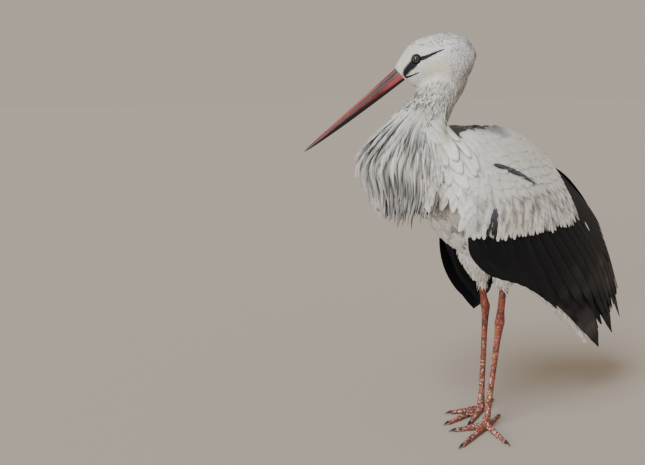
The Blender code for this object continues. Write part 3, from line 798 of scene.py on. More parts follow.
def vane_piece(name, columns, paths, normals, finish, seed, **make):
    """One mesh of many vanes of so many columns, each laid along its own path."""
    rng = np.random.default_rng(seed)
    across, along, side, vane_faces, under = vane_form(paths.shape[1] - 1, columns)
    count, size = len(paths), len(along)
    row = np.rint(along * (paths.shape[1] - 1)).astype(int)
    heading = unit(np.gradient(paths, axis=1))
    sideways = unit(np.cross(normals, heading))
    up = unit(np.cross(heading, sideways))

    def each(value):
        return np.broadcast_to(np.asarray(value, float), (count,))[:, None]

    width = each(make["width"]) / 2 * smooth_rows(make["profile"], along)[None]
    root, tip = each(make["root_lift"]), each(make["tip_lift"])
    rise = root + (tip - root) * along[None] ** 1.4
    rise = rise + each(make["thickness"]) / 2 * side[None] - each(make["camber"]) * across[None] ** 2
    rise = rise + each(make.get("tilt", 0.0)) * across[None]
    verts = paths[:, row] + sideways[:, row] * (width * across[None])[..., None]
    verts = verts + up[:, row] * rise[..., None]
    verts = verts - heading[:, row] * (make.get("bow", 0.0) * width * across[None] ** 2)[..., None]

    tone = 1 + rng.normal(0, make.get("tone_spread", 0.06), count)
    if "colours" in make:
        colour = make["colours"][:, row]
    else:
        colour = marks_and_painted_shade(verts.reshape(-1, 3)).reshape(verts.shape)
    if "tint" in make:
        tinted = (rng.random(count) < make["tinted"]) * rng.uniform(0.35, 1.0, count)
        colour = mixed(colour, make["tint"], tinted[:, None] * soft_step(along, 0.15, 0.75)[None])
    colour = colour * np.clip(tone, 0.55, 1.18)[:, None, None]
    # Painted shade: each vane darkens towards its root and its side edges, where the feathers
    # overlap.
    colour = colour * (1 - make.get("root_shade", 0.35) * (1 - along[None, :, None]) ** 2)
    colour = colour * (1 - make.get("edge_shade", 0.12) * across[None, :, None] ** 2)

    faces = (vane_faces[None] + (np.arange(count) * size)[:, None, None]).reshape(-1, 4)
    mesh = bpy.data.meshes.new(name)
    mesh.vertices.add(count * size)
    mesh.vertices.foreach_set("co", verts.reshape(-1))
    mesh.loops.add(faces.size)
    mesh.loops.foreach_set("vertex_index", faces.reshape(-1))
    mesh.polygons.add(len(faces))
    mesh.polygons.foreach_set("loop_start", np.arange(len(faces)) * 4)
    mesh.update(calc_edges=True)
    mesh.shade_smooth()
    mesh.set_sharp_from_angle(angle=VANE_CREASE)

    lay = np.stack((across[vane_faces] / 2 + 0.5, along[vane_faces]), -1)
    lay_map = mesh.uv_layers.new(name="lay")
    lay_map.data.foreach_set("uv", np.broadcast_to(lay[None], (count, *lay.shape)).reshape(-1))
    patch = lay * (0.5, 1.0)
    patch[under, :, 0] += 0.5
    index = make["index"] if "index" in make else settled(paths[:, 0])[2]
    patch = (patch - 0.5)[None] * PATCH + bake_spots(paths[:, 0], index)[:, None, None, :]
    bake_map = mesh.uv_layers.new(name="OFBake")
    bake_map.data.foreach_set("uv", patch.reshape(-1))
    set_colours(mesh, "marks_and_painted_light", colour.reshape(-1, 3))
    set_values(mesh, "chance", np.repeat(rng.random(count), size))

    obj = placed(name, mesh)
    mesh.materials.append(finish)
    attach(obj, "root")
    return obj


# What every vane shows close to: barbs slanting from the shaft, and the shaft itself
detail = bpy.data.node_groups.new("vane_detail", "ShaderNodeTree")
detail.interface.new_socket("Lay", in_out="INPUT", socket_type="NodeSocketVector")
for way, sockets in (("INPUT", "Chance Barbs Slant"), ("OUTPUT", "Tone Shaft Height Rim")):
    for socket_name in sockets.split():
        detail.interface.new_socket(socket_name, in_out=way, socket_type="NodeSocketFloat")
given, result = detail.nodes.new("NodeGroupInput"), detail.nodes.new("NodeGroupOutput")


def maths(tree, operation, first, second=None):
    """A maths node on sockets or numbers."""
    node = tree.nodes.new("ShaderNodeMath")
    node.operation = operation
    for socket, value in zip(node.inputs, (first, second)):
        if isinstance(value, bpy.types.NodeSocket):
            link(tree, value, socket)
        elif value is not None:
            socket.default_value = value
    return node.outputs[0]


split = detail.nodes.new("ShaderNodeSeparateXYZ")
link(detail, given.outputs["Lay"], split.inputs[0])
off_shaft = maths(detail, "ABSOLUTE", maths(detail, "SUBTRACT", split.outputs["X"], 0.5))
slanted = maths(detail, "MULTIPLY", off_shaft, given.outputs["Slant"])
run = maths(detail, "SUBTRACT", split.outputs["Y"], slanted)
run = maths(detail, "MULTIPLY", run, given.outputs["Barbs"])
spread = detail.nodes.new("ShaderNodeCombineXYZ")
link(detail, run, spread.inputs["X"])
link(detail, maths(detail, "MULTIPLY", given.outputs["Chance"], 37.0), spread.inputs["Y"])
link(detail, maths(detail, "MULTIPLY", off_shaft, 3.0), spread.inputs["Z"])
barb = texture(detail, "Noise", spread.outputs[0], Scale=1.0, Detail=3.0, Roughness=0.6)
shaft = maths(detail, "SUBTRACT", 1.0, maths(detail, "MULTIPLY", off_shaft, 22.0))
shaft = maths(detail, "MAXIMUM", shaft, 0.0)
link(detail, barb.outputs["Fac"], result.inputs["Tone"])
link(detail, shaft, result.inputs["Shaft"])
link(detail, maths(detail, "ADD", barb.outputs["Fac"], shaft), result.inputs["Height"])
# A broken line along the vane's edges and tip, used as painted shade between feathers.
side_rim = ramp(detail, off_shaft, (0.34, 0.0), (0.47, 1.0))
end_rim = ramp(detail, split.outputs["Y"], (0.88, 0.0), (0.97, 1.0))
rim_shade_line = maths(detail, "MAXIMUM", side_rim, end_rim)
broken = ramp(detail, barb.outputs["Fac"], (0.36, 0.25), (0.60, 1.0))
visible = ramp(detail, split.outputs["Y"], (0.25, 0.0), (0.50, 1.0))
rim_shade_line = maths(detail, "MULTIPLY", rim_shade_line, broken)
link(detail, maths(detail, "MULTIPLY", rim_shade_line, visible), result.inputs["Rim"])


# The slate of the painted shade along each vane's edge and tip.
RIM_SHADE_COLOUR = (0.075, 0.080, 0.090)


def plumage_finish(name, barbs, slant, tones, shaft_colour, roughness, relief, rim=0.0, gloss=0.3):
    """A feather material: its colour, broken by barbs, a fine shaft and a broken dark rim of painted
    shade along edge and tip.
    """
    material, tree, shader = plain_material(name, Roughness=roughness, Specular_IOR_Level=gloss)
    group = tree.nodes.new("ShaderNodeGroup")
    group.node_tree = detail
    group.inputs["Barbs"].default_value = barbs
    group.inputs["Slant"].default_value = slant
    lay = shader_node(tree, "ShaderNodeUVMap", uv_map="lay")
    link(tree, lay.outputs["UV"], group.inputs["Lay"])
    link(tree, stored_value(tree, "chance"), group.inputs["Chance"])
    tone = ramp(tree, group.outputs["Tone"], (0.30, tones[0]), (0.70, tones[1]))
    colour = blended(tree, "MULTIPLY", 1.0, stored_value(tree, "marks_and_painted_light", "Color"), tone)
    share = maths(tree, "MULTIPLY", group.outputs["Shaft"], 0.5)
    colour = blended(tree, "MIX", share, colour, (*shaft_colour, 1))
    if rim:
        # Painted shade along the vane's edge and tip.
        worn = maths(tree, "MULTIPLY", group.outputs["Rim"], rim)
        colour = blended(tree, "MIX", worn, colour, (*RIM_SHADE_COLOUR, 1))
    link(tree, colour, shader.inputs["Base Color"])
    bumped(tree, shader, group.outputs["Height"], 0.7, relief)
    return material


DOWN_SHAFT, PALE_SHAFT = (0.70, 0.68, 0.63), (0.66, 0.63, 0.57)
BLACK_DOWN_SHAFT, QUILL_SHAFT = (0.014, 0.014, 0.016), (0.022, 0.021, 0.021)
soft_plumage = plumage_finish("soft_plumage", 22.0, 0.5, (0.72, 1.06), DOWN_SHAFT, 0.8, 0.0002)

tri_bird, tri_head = bird_places(tri_centres), head_places(tri_centres)
tri_owner = [solid_owner[solid_tree.find_nearest(place)[2]][:6] for place in tri_centres.tolist()]
tri_owner = np.array(tri_owner)
tri_face = np.empty(len(skin_mesh.loop_triangles), int)
skin_mesh.loop_triangles.foreach_get("polygon_index", tri_face)
face_finish = np.empty(len(skin_mesh.polygons), int)
skin_mesh.polygons.foreach_get("material_index", face_finish)
bare_leg = face_finish[tri_face] == 1
bare_lore = along_line(tri_head, LORE, 0.0044, 0.0088) > 0.5
open_skin = ~bare_leg & ~bare_lore & (near_eyes(tri_centres) > EYE_PATCH - 0.0008)

# Wings and ruff hide much of the trunk: no feathers grow where they would be lost
COVER_REACH = 0.012
COVERS = [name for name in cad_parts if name.startswith(("wing_", "foreneck"))]
cover_tree = solids_tree(COVERS)[0]


def covered(places, normals):
    """Whether a wing or the ruff lies close over each place."""
    hits = []
    for place, normal in zip(places.tolist(), normals.tolist()):
        start = Vector(place) + Vector(normal) * 0.0015
        hits.append(cover_tree.ray_cast(start, Vector(normal), COVER_REACH)[0] is not None)
    return np.array(hits)


def small_coat(name, chosen, spacing, length, width, lift, rows, seed, sheltered="", **make):
    """One piece of the small plumage, left out where its roots or all of it are sheltered."""
    roots, index = scattered(np.nonzero(open_skin & chosen)[0], spacing, seed)
    if sheltered:
        way = coat_lie(roots, tri_normals[index])
        hidden = covered(roots, tri_normals[index])
        if sheltered == "whole":
            hidden &= covered(roots + way * length * 0.8, tri_normals[index])
        roots, index = roots[~hidden], index[~hidden]
    rng = np.random.default_rng(seed + 1)
    lengths = length * rng.uniform(0.8, 1.2, len(roots))
    paths, normals = hide_paths(roots, index, lengths, rows, seed + 2)
    make.setdefault("profile", ROUND_VANE)
    widths = width * rng.uniform(0.8, 1.2, len(roots)) * (lengths / length) ** 0.5
    lifts = lift * rng.uniform(0.7, 1.3, len(roots))
    return vane_piece(
        name, 2, paths, normals, soft_plumage, seed + 3, index=index, width=widths, root_lift=-0.0004,
        tip_lift=lifts, thickness=0.00030, camber=width * 0.16, **make
    )


on_head = tri_owner == "head"
on_face = on_head & (tri_head[:, 1] < 0.020) & (tri_head[:, 2] < 0.026)
small_coat("face_feathers", on_face, 0.0015, 0.0044, 0.0017, 0.0006, 2, 11)
on_crown = on_head & ~on_face
small_coat("crown_feathers", on_crown, 0.0021, 0.0090, 0.0026, 0.0010, 3, 21, tint=GREY, tinted=0.54)


def line_feathers(name, line, count, length, widths, seed):
    """Short black feathers laid along a line of the face, on both cheeks."""
    rng = np.random.default_rng(seed)
    share = np.linspace(0, 0.985, count)
    paths, normals = [], []
    for sign in SIGN.values():
        steps = np.clip(share[:, None] + np.linspace(0, 1, 4)[None] * length, 0, 1)
        drawn = smooth_rows(np.array(line), steps.reshape(-1)) * (sign, 1, 1)
        drawn = drawn + rng.normal(0, 0.00012, drawn.shape)
        found, normal, _ = settled(drawn @ np.array(HEAD_TURN).T + np.array(HEAD_AT))
        paths.append(found.reshape(count, 4, 3))
        normals.append(normal.reshape(count, 4, 3))
    paths, normals = np.concatenate(paths), np.concatenate(normals)
    widths = np.tile(np.interp(share, (0, 1), widths), 2)
    return vane_piece(
        name, 2, paths, normals, black_down, seed + 1, width=widths, profile=LANCE_VANE,
        root_lift=0.0004, tip_lift=0.0010, thickness=0.0003, camber=0.0003,
        colours=np.broadcast_to(SOOT, paths.shape), tone_spread=0.2, root_shade=0.0, edge_shade=0.0
    )


black_down = plumage_finish("black_down", 22.0, 0.5, (0.8, 1.1), BLACK_DOWN_SHAFT, 0.7, 0.0002)
line_feathers("eye_line_feathers", EYE_LINE, 40, 0.10, (0.0082, 0.0012), 25)
line_feathers("gape_feathers", GAPE_LINE, 22, 0.14, (0.0052, 0.0010), 28)
on_neck = np.char.startswith(tri_owner, "neck")
small_coat(
    "neck_feathers", on_neck, 0.0030, 0.0165, 0.0042, 0.0015, 4, 31,
    sheltered="whole", profile=LANCE_VANE, tint=GREY, tinted=0.58
)
on_trunk = tri_owner == "trunk"
on_breast = on_trunk & (tri_bird[:, 1] < 0.015) & (tri_bird[:, 2] > 0.335)
small_coat(
    "breast_feathers", on_breast, 0.0066, 0.0330, 0.0135, 0.0040, 5, 71,
    sheltered="root", tint=GREY, tinted=0.10, root_shade=0.2
)
small_coat(
    "body_feathers", on_trunk & ~on_breast, 0.0048, 0.0270, 0.0090, 0.0040, 4, 41,
    sheltered="whole", tint=GREY, tinted=0.12
)
on_mantle = (mantle_share(tri_centres) > 0.2) & (tri_normals[:, 2] > 0.15)
small_coat("mantle_feathers", on_mantle, 0.0060, 0.0300, 0.0120, 0.0045, 4, 61, tone_spread=0.22)
on_thigh = np.char.startswith(tri_owner, "thigh")
small_coat("thigh_feathers", on_thigh, 0.0036, 0.0250, 0.0052, 0.0046, 4, 51, profile=LANCE_VANE)

# Folded wings. Rows of white coverts lie like tiles over the arm of the wing and hang in a
# scalloped edge over the long black quills, which run back and down along the hem and end
# in a few free points. Each quill's lower edge lies over the next one's upper edge.

WING_TOP = (
    (-0.154, 0.590),
    (-0.094, 0.616),
    (0.022, 0.596),
    (0.118, 0.545),
    (0.212, 0.472),
    (0.301, 0.372),
    (0.371, 0.222),
)
WING_HEMS = {
    "left": (
        (-0.168, 0.530),
        (-0.160, 0.474),
        (-0.130, 0.415),
        (-0.065, 0.355),
        (0.035, 0.308),
        (0.155, 0.228),
        (0.244, 0.149),
    ),
    "right": (
        (-0.156, 0.538),
        (-0.128, 0.492),
        (-0.072, 0.444),
        (-0.004, 0.380),
        (0.068, 0.324),
        (0.160, 0.264),
        (0.262, 0.186),
    ),
}
WING_REACH = (
    (0.080, 0.090, 0.066),
    (0.092, 0.106, 0.044),
    (0.096, 0.111, 0.022),
    (0.092, 0.106, 0.010),
    (0.080, 0.090, 0.007),
    (0.064, 0.066, 0.006),
    (0.048, 0.044, 0.006),
)
WING_THICKNESS = (0.024, 0.034, 0.034, 0.028, 0.020, 0.010, 0.004)
LOBE = (0.37, 0.571, 0.714)  # where the right wing's hanging lobe starts, is deepest and ends
LOBE_DEPTH, LOBE_BULGE = 0.135, 0.029
WING_STEP = 0.01


def wing_surface(side, along, rise):
    """Places on a folded wing's outer face: along it from bend to tip, and from hem to top."""
    inside = np.clip(along, 0, 1)
    hem, top = smooth_rows(WING_HEMS[side], inside), smooth_rows(WING_TOP, inside)
    low, middle, high = np.moveaxis(smooth_rows(WING_REACH, inside), -1, 0)
    flat = hem * (1 - rise)[..., None] + top * rise[..., None]
    across = 2 * rise - 1
    reach = middle + (high - low) / 2 * across + ((low + high) / 2 - middle) * across**2
    place = np.stack((SIGN[side] * reach, flat[..., 0], flat[..., 1]), -1)
    if side == "right":
        start, tip, end = LOBE
        hang = np.minimum((inside - start) / (tip - start), (end - inside) / (end - tip))
        hang = np.clip(hang, 0, 1)
        forward = np.where(inside < tip, LOBE_BULGE * np.sin(np.pi * hang), 0)
        drop = np.clip(1 - rise, 0, 1.2) ** 3
        place[..., 1] += (0.10 * LOBE_DEPTH * hang - forward) * drop
        place[..., 2] -= LOBE_DEPTH * hang * drop
    return place + ORIGIN


def wing_place(side, along, rise, depth=0.0):
    """A wing's places and outward normals, past its ends too, at a depth under its face."""
    along, rise = np.broadcast_arrays(np.asarray(along, float), np.asarray(rise, float))
    inside, step = np.clip(along, 0.0, 1.0), WING_STEP
    ahead, back = np.clip(inside + step, 0, 1), np.clip(inside - step, 0, 1)
    run = wing_surface(side, ahead, rise) - wing_surface(side, back, rise)
    run = run / (ahead - back)[..., None]
    climb = wing_surface(side, inside, rise + step) - wing_surface(side, inside, rise - step)
    climb = climb / (2 * step)
    normal = unit(np.cross(run, climb)) * SIGN[side]
    place = wing_surface(side, inside, rise) + run * (along - inside)[..., None]
    return place - normal * np.asarray(depth)[..., None], normal, run, climb


def wing_spots(side, y, z):
    """The along and rise of side-view places on a wing."""
    grid = np.linspace(0.0, 1.0, 161), np.linspace(-0.06, 1.02, 109)
    grid_along, grid_rise = np.meshgrid(*grid, indexing="ij")
    flat = (wing_surface(side, grid_along, grid_rise) - ORIGIN)[..., 1:].reshape(-1, 2)
    along, rise = [], []
    for place in np.stack((y, z), -1):
        best = np.argmin(((flat - place) ** 2).sum(1))
        along.append(grid_along.reshape(-1)[best])
        rise.append(grid_rise.reshape(-1)[best])
    return np.array(along), np.array(rise)


def wing_paths(side, along, rise, lengths, rows, dip):
    """Paths over a wing for feathers that head back and down by an angle that dip gives."""
    points, normals = [], []
    for step in range(rows + 1):
        place, normal, run, climb = wing_place(side, along, rise)
        points.append(place)
        normals.append(normal)
        angle = np.radians(dip(bird_places(place)))
        way = np.stack((np.zeros(len(angle)), np.cos(angle), -np.sin(angle)), -1)
        way = unit(way - normal * (way * normal).sum(1)[:, None]) * (lengths / rows)[:, None]
        rr, cc, rc = (run * run).sum(1), (climb * climb).sum(1), (run * climb).sum(1)
        wr, wc = (way * run).sum(1), (way * climb).sum(1)
        scale = np.maximum(rr * cc - rc * rc, 1e-12)
        along = along + (wr * cc - wc * rc) / scale
        rise = rise + (wc * rr - wr * rc) / scale
    return np.stack(points, 1), np.stack(normals, 1)


def covert_dip(bird):
    """Degrees below level at which a covert points: hanging at the hem, level on the back."""
    y, z = bird[:, 1], bird[:, 2]
    lower = 1 - soft_step(z, 0.478, 0.520)
    dip = 24 + 12 * soft_step(y, -0.04, 0.10)
    dip = dip + (84 - dip) * lower
    dip = dip + (73 - dip) * soft_step(past_edge(bird), 0.100, 0.117)
    return dip + (66 - dip) * (1 - soft_step(y, -0.125, -0.075)) * soft_step(z, 0.47, 0.50)


white_vane = (0.7, (0.82, 1.05), PALE_SHAFT, 0.75, 0.0003)
covert_plumage = plumage_finish("covert_plumage", 46.0, *white_vane, rim=0.14)
shade_rimmed_plumage = plumage_finish("shade_rimmed_plumage", 40.0, *white_vane, rim=0.85)
flight_plumage = plumage_finish(
    "flight_plumage", 120.0, 0.9, (0.55, 1.35), QUILL_SHAFT, 0.55, 0.0003, gloss=0.14
)
COVERT_ROWS = [  # height of the roots, feather length, width and spacing
    (0.466, 0.0470, 0.0150, 0.0090),
    (0.478, 0.0460, 0.0150, 0.0098),
    (0.490, 0.0450, 0.0155, 0.0105),
    (0.502, 0.0440, 0.0160, 0.0110),
    (0.515, 0.0420, 0.0170, 0.0120),
    (0.529, 0.0420, 0.0190, 0.0135),
    (0.543, 0.0420, 0.0210, 0.0150),
]
COVERT_ROWS += [(0.557 + 0.013 * k, 0.0420, 0.0225, 0.0160) for k in range(5)]
HANGING_BELOW = 0.51  # rows rooted lower than this hang, the others lie back
NOTCH_Y, NOTCH_TOP = -0.1005, 0.496


def covert_coat(side, seed):
    """The white tiles of one wing: hanging rows at the hem, long smooth ones up the back."""
    rng = np.random.default_rng(seed)
    y, z, lengths, widths = [], [], [], []
    for number, (height, length, width, spacing) in enumerate(COVERT_ROWS):
        hanging = height < HANGING_BELOW
        back = EDGE_Y + EDGE_SLOPE * (EDGE_Z - height) - (0.018 if hanging else 0.92 * length)
        start = -0.172 + (number % 2) * spacing / 2
        roots = np.append(np.arange(start, back, spacing), back + 0.001)
        roots = roots[roots > (-0.140 if hanging else -0.158)]
        y.append(roots + rng.normal(0, 0.0010, len(roots)))
        z.append(height + rng.normal(0, 0.0014, len(roots)))
        lengths.append(length * rng.uniform(0.93, 1.08, len(roots)))
        widths.append(width * rng.uniform(0.88, 1.15, len(roots)))
    # a last row lies down along the hinder edge, over the ends of the others
    edge = np.arange(0.600, 0.452, -0.0115)
    y.append(EDGE_Y + EDGE_SLOPE * (EDGE_Z - edge) - 0.0155)
    z.append(edge)
    lengths.append(0.034 * rng.uniform(0.9, 1.1, len(edge)))
    widths.append(0.0215 * rng.uniform(0.9, 1.1, len(edge)))
    y, z, lengths, widths = (np.concatenate(column) for column in (y, z, lengths, widths))
    # the notch between the first hanging lobe and the row behind it stays open
    notch_width = 0.0030 + 0.17 * np.clip(0.500 - z, 0, 0.040)
    kept = (np.abs(y - NOTCH_Y) >= notch_width) | (z >= NOTCH_TOP)
    y, z, lengths, widths = y[kept], z[kept], lengths[kept], widths[kept]
    along, rise = wing_spots(side, y, z)
    found = wing_place(side, along, rise)[0] - ORIGIN
    kept = np.hypot(found[:, 1] - y, found[:, 2] - z) < 0.004
    lengths, widths = lengths[kept], widths[kept]
    paths, normals = wing_paths(side, along[kept], rise[kept], lengths, 6, covert_dip)
    high = bird_places(paths[:, 0])[:, 2]
    lifts = 0.0009 + 0.0010 * rng.random(len(paths)) ** 2
    return vane_piece(
        f"wing_{side}_covert_feathers", 4, paths, normals, covert_plumage, seed + 1, width=widths,
        profile=BLUNT_VANE, bow=0.9, root_lift=-0.0018 + 0.0006 * np.linspace(0, 1, len(paths)),
        tip_lift=lifts * (1 - 0.8 * soft_step(high, 0.575, 0.600)), thickness=0.0005,
        camber=widths * 0.06, tone_spread=0.035, root_shade=0.22, edge_shade=0.07
    )


SLIT_SHADE_VANES, NOTCH_ROWS = 22, 6


def slit_shade_and_notch_vanes(side, seed):
    """Slate feathers laid in the slit across the coverts as painted shadow, and dark feathers in the
    notch of their hem.
    """
    rng = np.random.default_rng(seed)
    share = np.linspace(0, 0.86, SLIT_SHADE_VANES)
    slit = smooth_rows(np.array(WING_SLIT_SHADE)[:, 1:], share)
    drop = np.repeat(np.linspace(0, 1, NOTCH_ROWS), 3)
    beside = np.tile((-1.0, 1.0, 0.0), NOTCH_ROWS)
    notch = np.stack((-0.1010 + beside * (0.0012 + 0.0046 * drop), 0.478 - 0.034 * drop), -1)
    flat = np.concatenate((slit, notch))
    flat = flat + rng.normal(0, 0.0004, flat.shape)
    along, rise = wing_spots(side, flat[:, 0], flat[:, 1])

    def both(in_slit, in_notch):
        return np.concatenate((np.zeros(SLIT_SHADE_VANES) + in_slit, np.zeros(len(drop)) + in_notch))

    lengths = both(rng.uniform(0.016, 0.022, SLIT_SHADE_VANES), rng.uniform(0.018, 0.023, len(drop)))
    widths = both(0.0040 + 0.0085 * np.sin(math.pi * (0.10 + share)), 0.0048 + 0.0022 * drop)
    dips = both(21.0, 84.0 - 6 * beside)
    paths, normals = wing_paths(side, along, rise, lengths, 4, lambda bird: dips)
    soot = np.repeat(both(0, drop)[:, None], 5, axis=1)
    colours = mixed(np.broadcast_to(SLATE, paths.shape), SOOT, soot)
    tips = both(0.0017, 0.0026 - 0.0012 * drop)
    return vane_piece(
        f"wing_{side}_slate_coverts", 4, paths, normals, covert_plumage, seed + 1, width=widths,
        profile=LANCE_VANE, root_lift=both(0.0008, 0.0016), tip_lift=tips, thickness=0.0005,
        camber=widths * 0.10, colours=colours, tone_spread=0.25, root_shade=0.0, edge_shade=0.0
    )


# Painted sheen: brown-grey streaks laid on the black quills.
QUILL_SHEEN = (0.120, 0.098, 0.088)
FREE_TIP_WAY = np.array((0, 0.30, -0.95))  # the way the longest quills bend past the wing


def quill_sheaf(name, side, roots, tips, widths, depth, rows, seed, reach=0.0, inner=False, **make):
    """Long black quills between roots and tips given as along and rise on a wing."""
    rng = np.random.default_rng(seed)
    share = np.linspace(0, 1, rows + 1)[None]
    roots, tips = np.stack(np.broadcast_arrays(*roots), -1), np.stack(np.broadcast_arrays(*tips), -1)
    along = roots[:, :1] + (tips[:, :1] - roots[:, :1]) * share
    rise = roots[:, 1:] + (tips[:, 1:] - roots[:, 1:]) * share**1.15
    points, normals = wing_place(side, along, rise, depth * smooth_rows(WING_THICKNESS, along))[:2]
    reach = np.broadcast_to(np.asarray(reach, float), (len(roots),))
    points = points + FREE_TIP_WAY * reach[:, None, None] * (share**5)[..., None]
    if inner:
        normals = -normals
    # Painted sheen: brown-grey streaks along the quills, low on the hinder wing.
    drift = speckle(points.reshape(-1, 3), 0.030, seed).reshape(points.shape[:2])
    streak = rng.uniform(0.0, 1.0, len(roots))[:, None] * between(share, (0.15, 0.65), (0.80, 1.0))
    bird = bird_places(points)
    streak = streak * (0.45 + drift) * soft_step(bird[..., 1], 0.06, 0.22)
    sheen_shown = np.clip(streak * (1 - soft_step(bird[..., 2], 0.30, 0.38)), 0, 1)
    make.setdefault("root_lift", -0.0040)
    return vane_piece(
        name, 6, points, normals, flight_plumage, seed + 1, slot="plumage_black", width=widths,
        profile=QUILL_VANE, tip_lift=0.0006, thickness=0.0007, camber=np.asarray(widths) * 0.035,
        colours=mixed(SOOT, QUILL_SHEEN, sheen_shown * 0.9), tone_spread=0.12, root_shade=0.0,
        edge_shade=0.25, **make
    )


for (side, sign), seed in zip(SIGN.items(), (100, 200)):
    covert_coat(side, seed)
    slit_shade_and_notch_vanes(side, seed + 50)
    # secondaries, from the hem's foremost to the last before the wing's point
    steps = np.linspace(0, 1, 17)
    tip_rise = np.maximum(-0.005 - 0.080 * steps, 1.55 * steps - 0.63)
    tip_along = 0.56 + 0.40 * np.minimum(1, 1.5 * steps)
    secondaries = quill_sheaf(
        f"wing_{side}_secondary_quills", side, (0.30 + 0.34 * steps, 0.02 + 0.86 * steps),
        (tip_along, tip_rise), 0.040 - 0.008 * steps, 0.0, 20, seed + 200, tilt=-sign * 0.0012
    )
    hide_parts(f"wing_{side}_primaries")
    # three primaries end free at the wing's point, and a fourth lies along its hem
    points = np.array((0.111, 0.444, 0.778))
    roots = np.array((0.62, 0.62, 0.62, 0.60)), np.append(0.08 + 0.82 * points, 0.045)
    tips = np.array((1.0, 1.0, 1.0, 0.965)), np.append(points, 0.045)
    widths = np.array((0.042, 0.042, 0.042, 0.028))
    quill_sheaf(
        f"wing_{side}_primary_quills", side, roots, tips, widths, 0.25, 20, seed + 210,
        reach=(0.026, 0.026, 0.026, 0.008), tilt=-sign * 0.0008
    )
    # quills under these close the inner face
    under = np.linspace(0.11, 0.94, 11)
    quill_sheaf(
        f"wing_{side}_under_quills", side, (0.42, under), (0.97, under), 0.032, 0.80, 14, seed + 220,
        inner=True
    )
    # tertials lie along the top, over the roots of the others
    back = np.linspace(0.0, 1.0, 7)
    quill_sheaf(
        f"wing_{side}_tertial_quills", side, (0.50 + 0.05 * back, 0.99 - 0.30 * back),
        (0.80 + 0.07 * back, 0.97 - 0.16 * back), 0.034, -0.04, 12, seed + 230,
        tilt=-sign * 0.0010, root_lift=-0.0075
    )

# One pale barb lies loose on the near wing's quills
spot = wing_spots("left", np.array([0.1820]), np.array([0.4150]))
paths, normals = wing_paths("left", *spot, np.array([0.022]), 4, lambda bird: np.full(1, 64.0))
vane_piece(
    "wing_left_pale_barb", 4, paths, normals, covert_plumage, 345, width=0.0042, profile=LANCE_VANE,
    root_lift=0.0016, tip_lift=0.0030, thickness=0.0005, camber=0.0004,
    colours=np.broadcast_to(WHITE, paths.shape)
)

# The right wing lets a sheaf of quills hang below the belly
hang = np.linspace(0, 1, 7)
quill_sheaf(
    "wing_right_hanging_quills", "right", (0.44 + 0.16 * hang, 0.52), (0.50 + 0.13 * hang, 0.0),
    0.030, -0.05, 14, 450, tilt=0.0010
)

# Ruff. Long pointed plumes hang from the lower neck in tiers over the breast. They are loose,
# stand out at the front, and end in a fringe of separate points; the plumes that lie deeper
# are darkened as painted shade.

PLUMES = (
    (-0.150, 0.668, 0.038, 0.050, 94),
    (-0.172, 0.628, 0.050, 0.070, 97),
    (-0.188, 0.585, 0.067, 0.087, 100),
    (-0.192, 0.546, 0.077, 0.095, 98),
    (-0.187, 0.500, 0.075, 0.079, 90),
    (-0.182, 0.462, 0.072, 0.071, 76),
)


RUFF_CENTRE = np.array((0, -0.15, 0.56)) + ORIGIN
RUFF_STEP = 0.01
# Cream, slate and a shade colour; the last is painted shade for plumes that lie deeper.
RUFF_TINTS_AND_SHADE = ((0.62, 0.58, 0.45), (0.15, 0.165, 0.195), (0.070, 0.076, 0.090))  # cream, slate, shade


def ruff_place(along, turn):
    """Places on the ruff: along it from the throat down, and turned from right to left."""
    inside = np.clip(along, 0, 1)
    y, z, half_width, reach, sweep = np.moveaxis(smooth_rows(PLUMES, inside), -1, 0)
    angle = np.radians(sweep) * turn
    hem_rise = 0.020 * inside**3 * (1 - np.cos(angle)) / 2
    place = np.stack((half_width * np.sin(angle), y - reach * np.cos(angle), z + hem_rise), -1)
    place[..., 2] -= 0.206 * (along - inside)
    return place + ORIGIN


PLUME_VANE = (0.40, 0.74, 0.96, 1.0, 0.90, 0.70, 0.46, 0.23, 0.015)


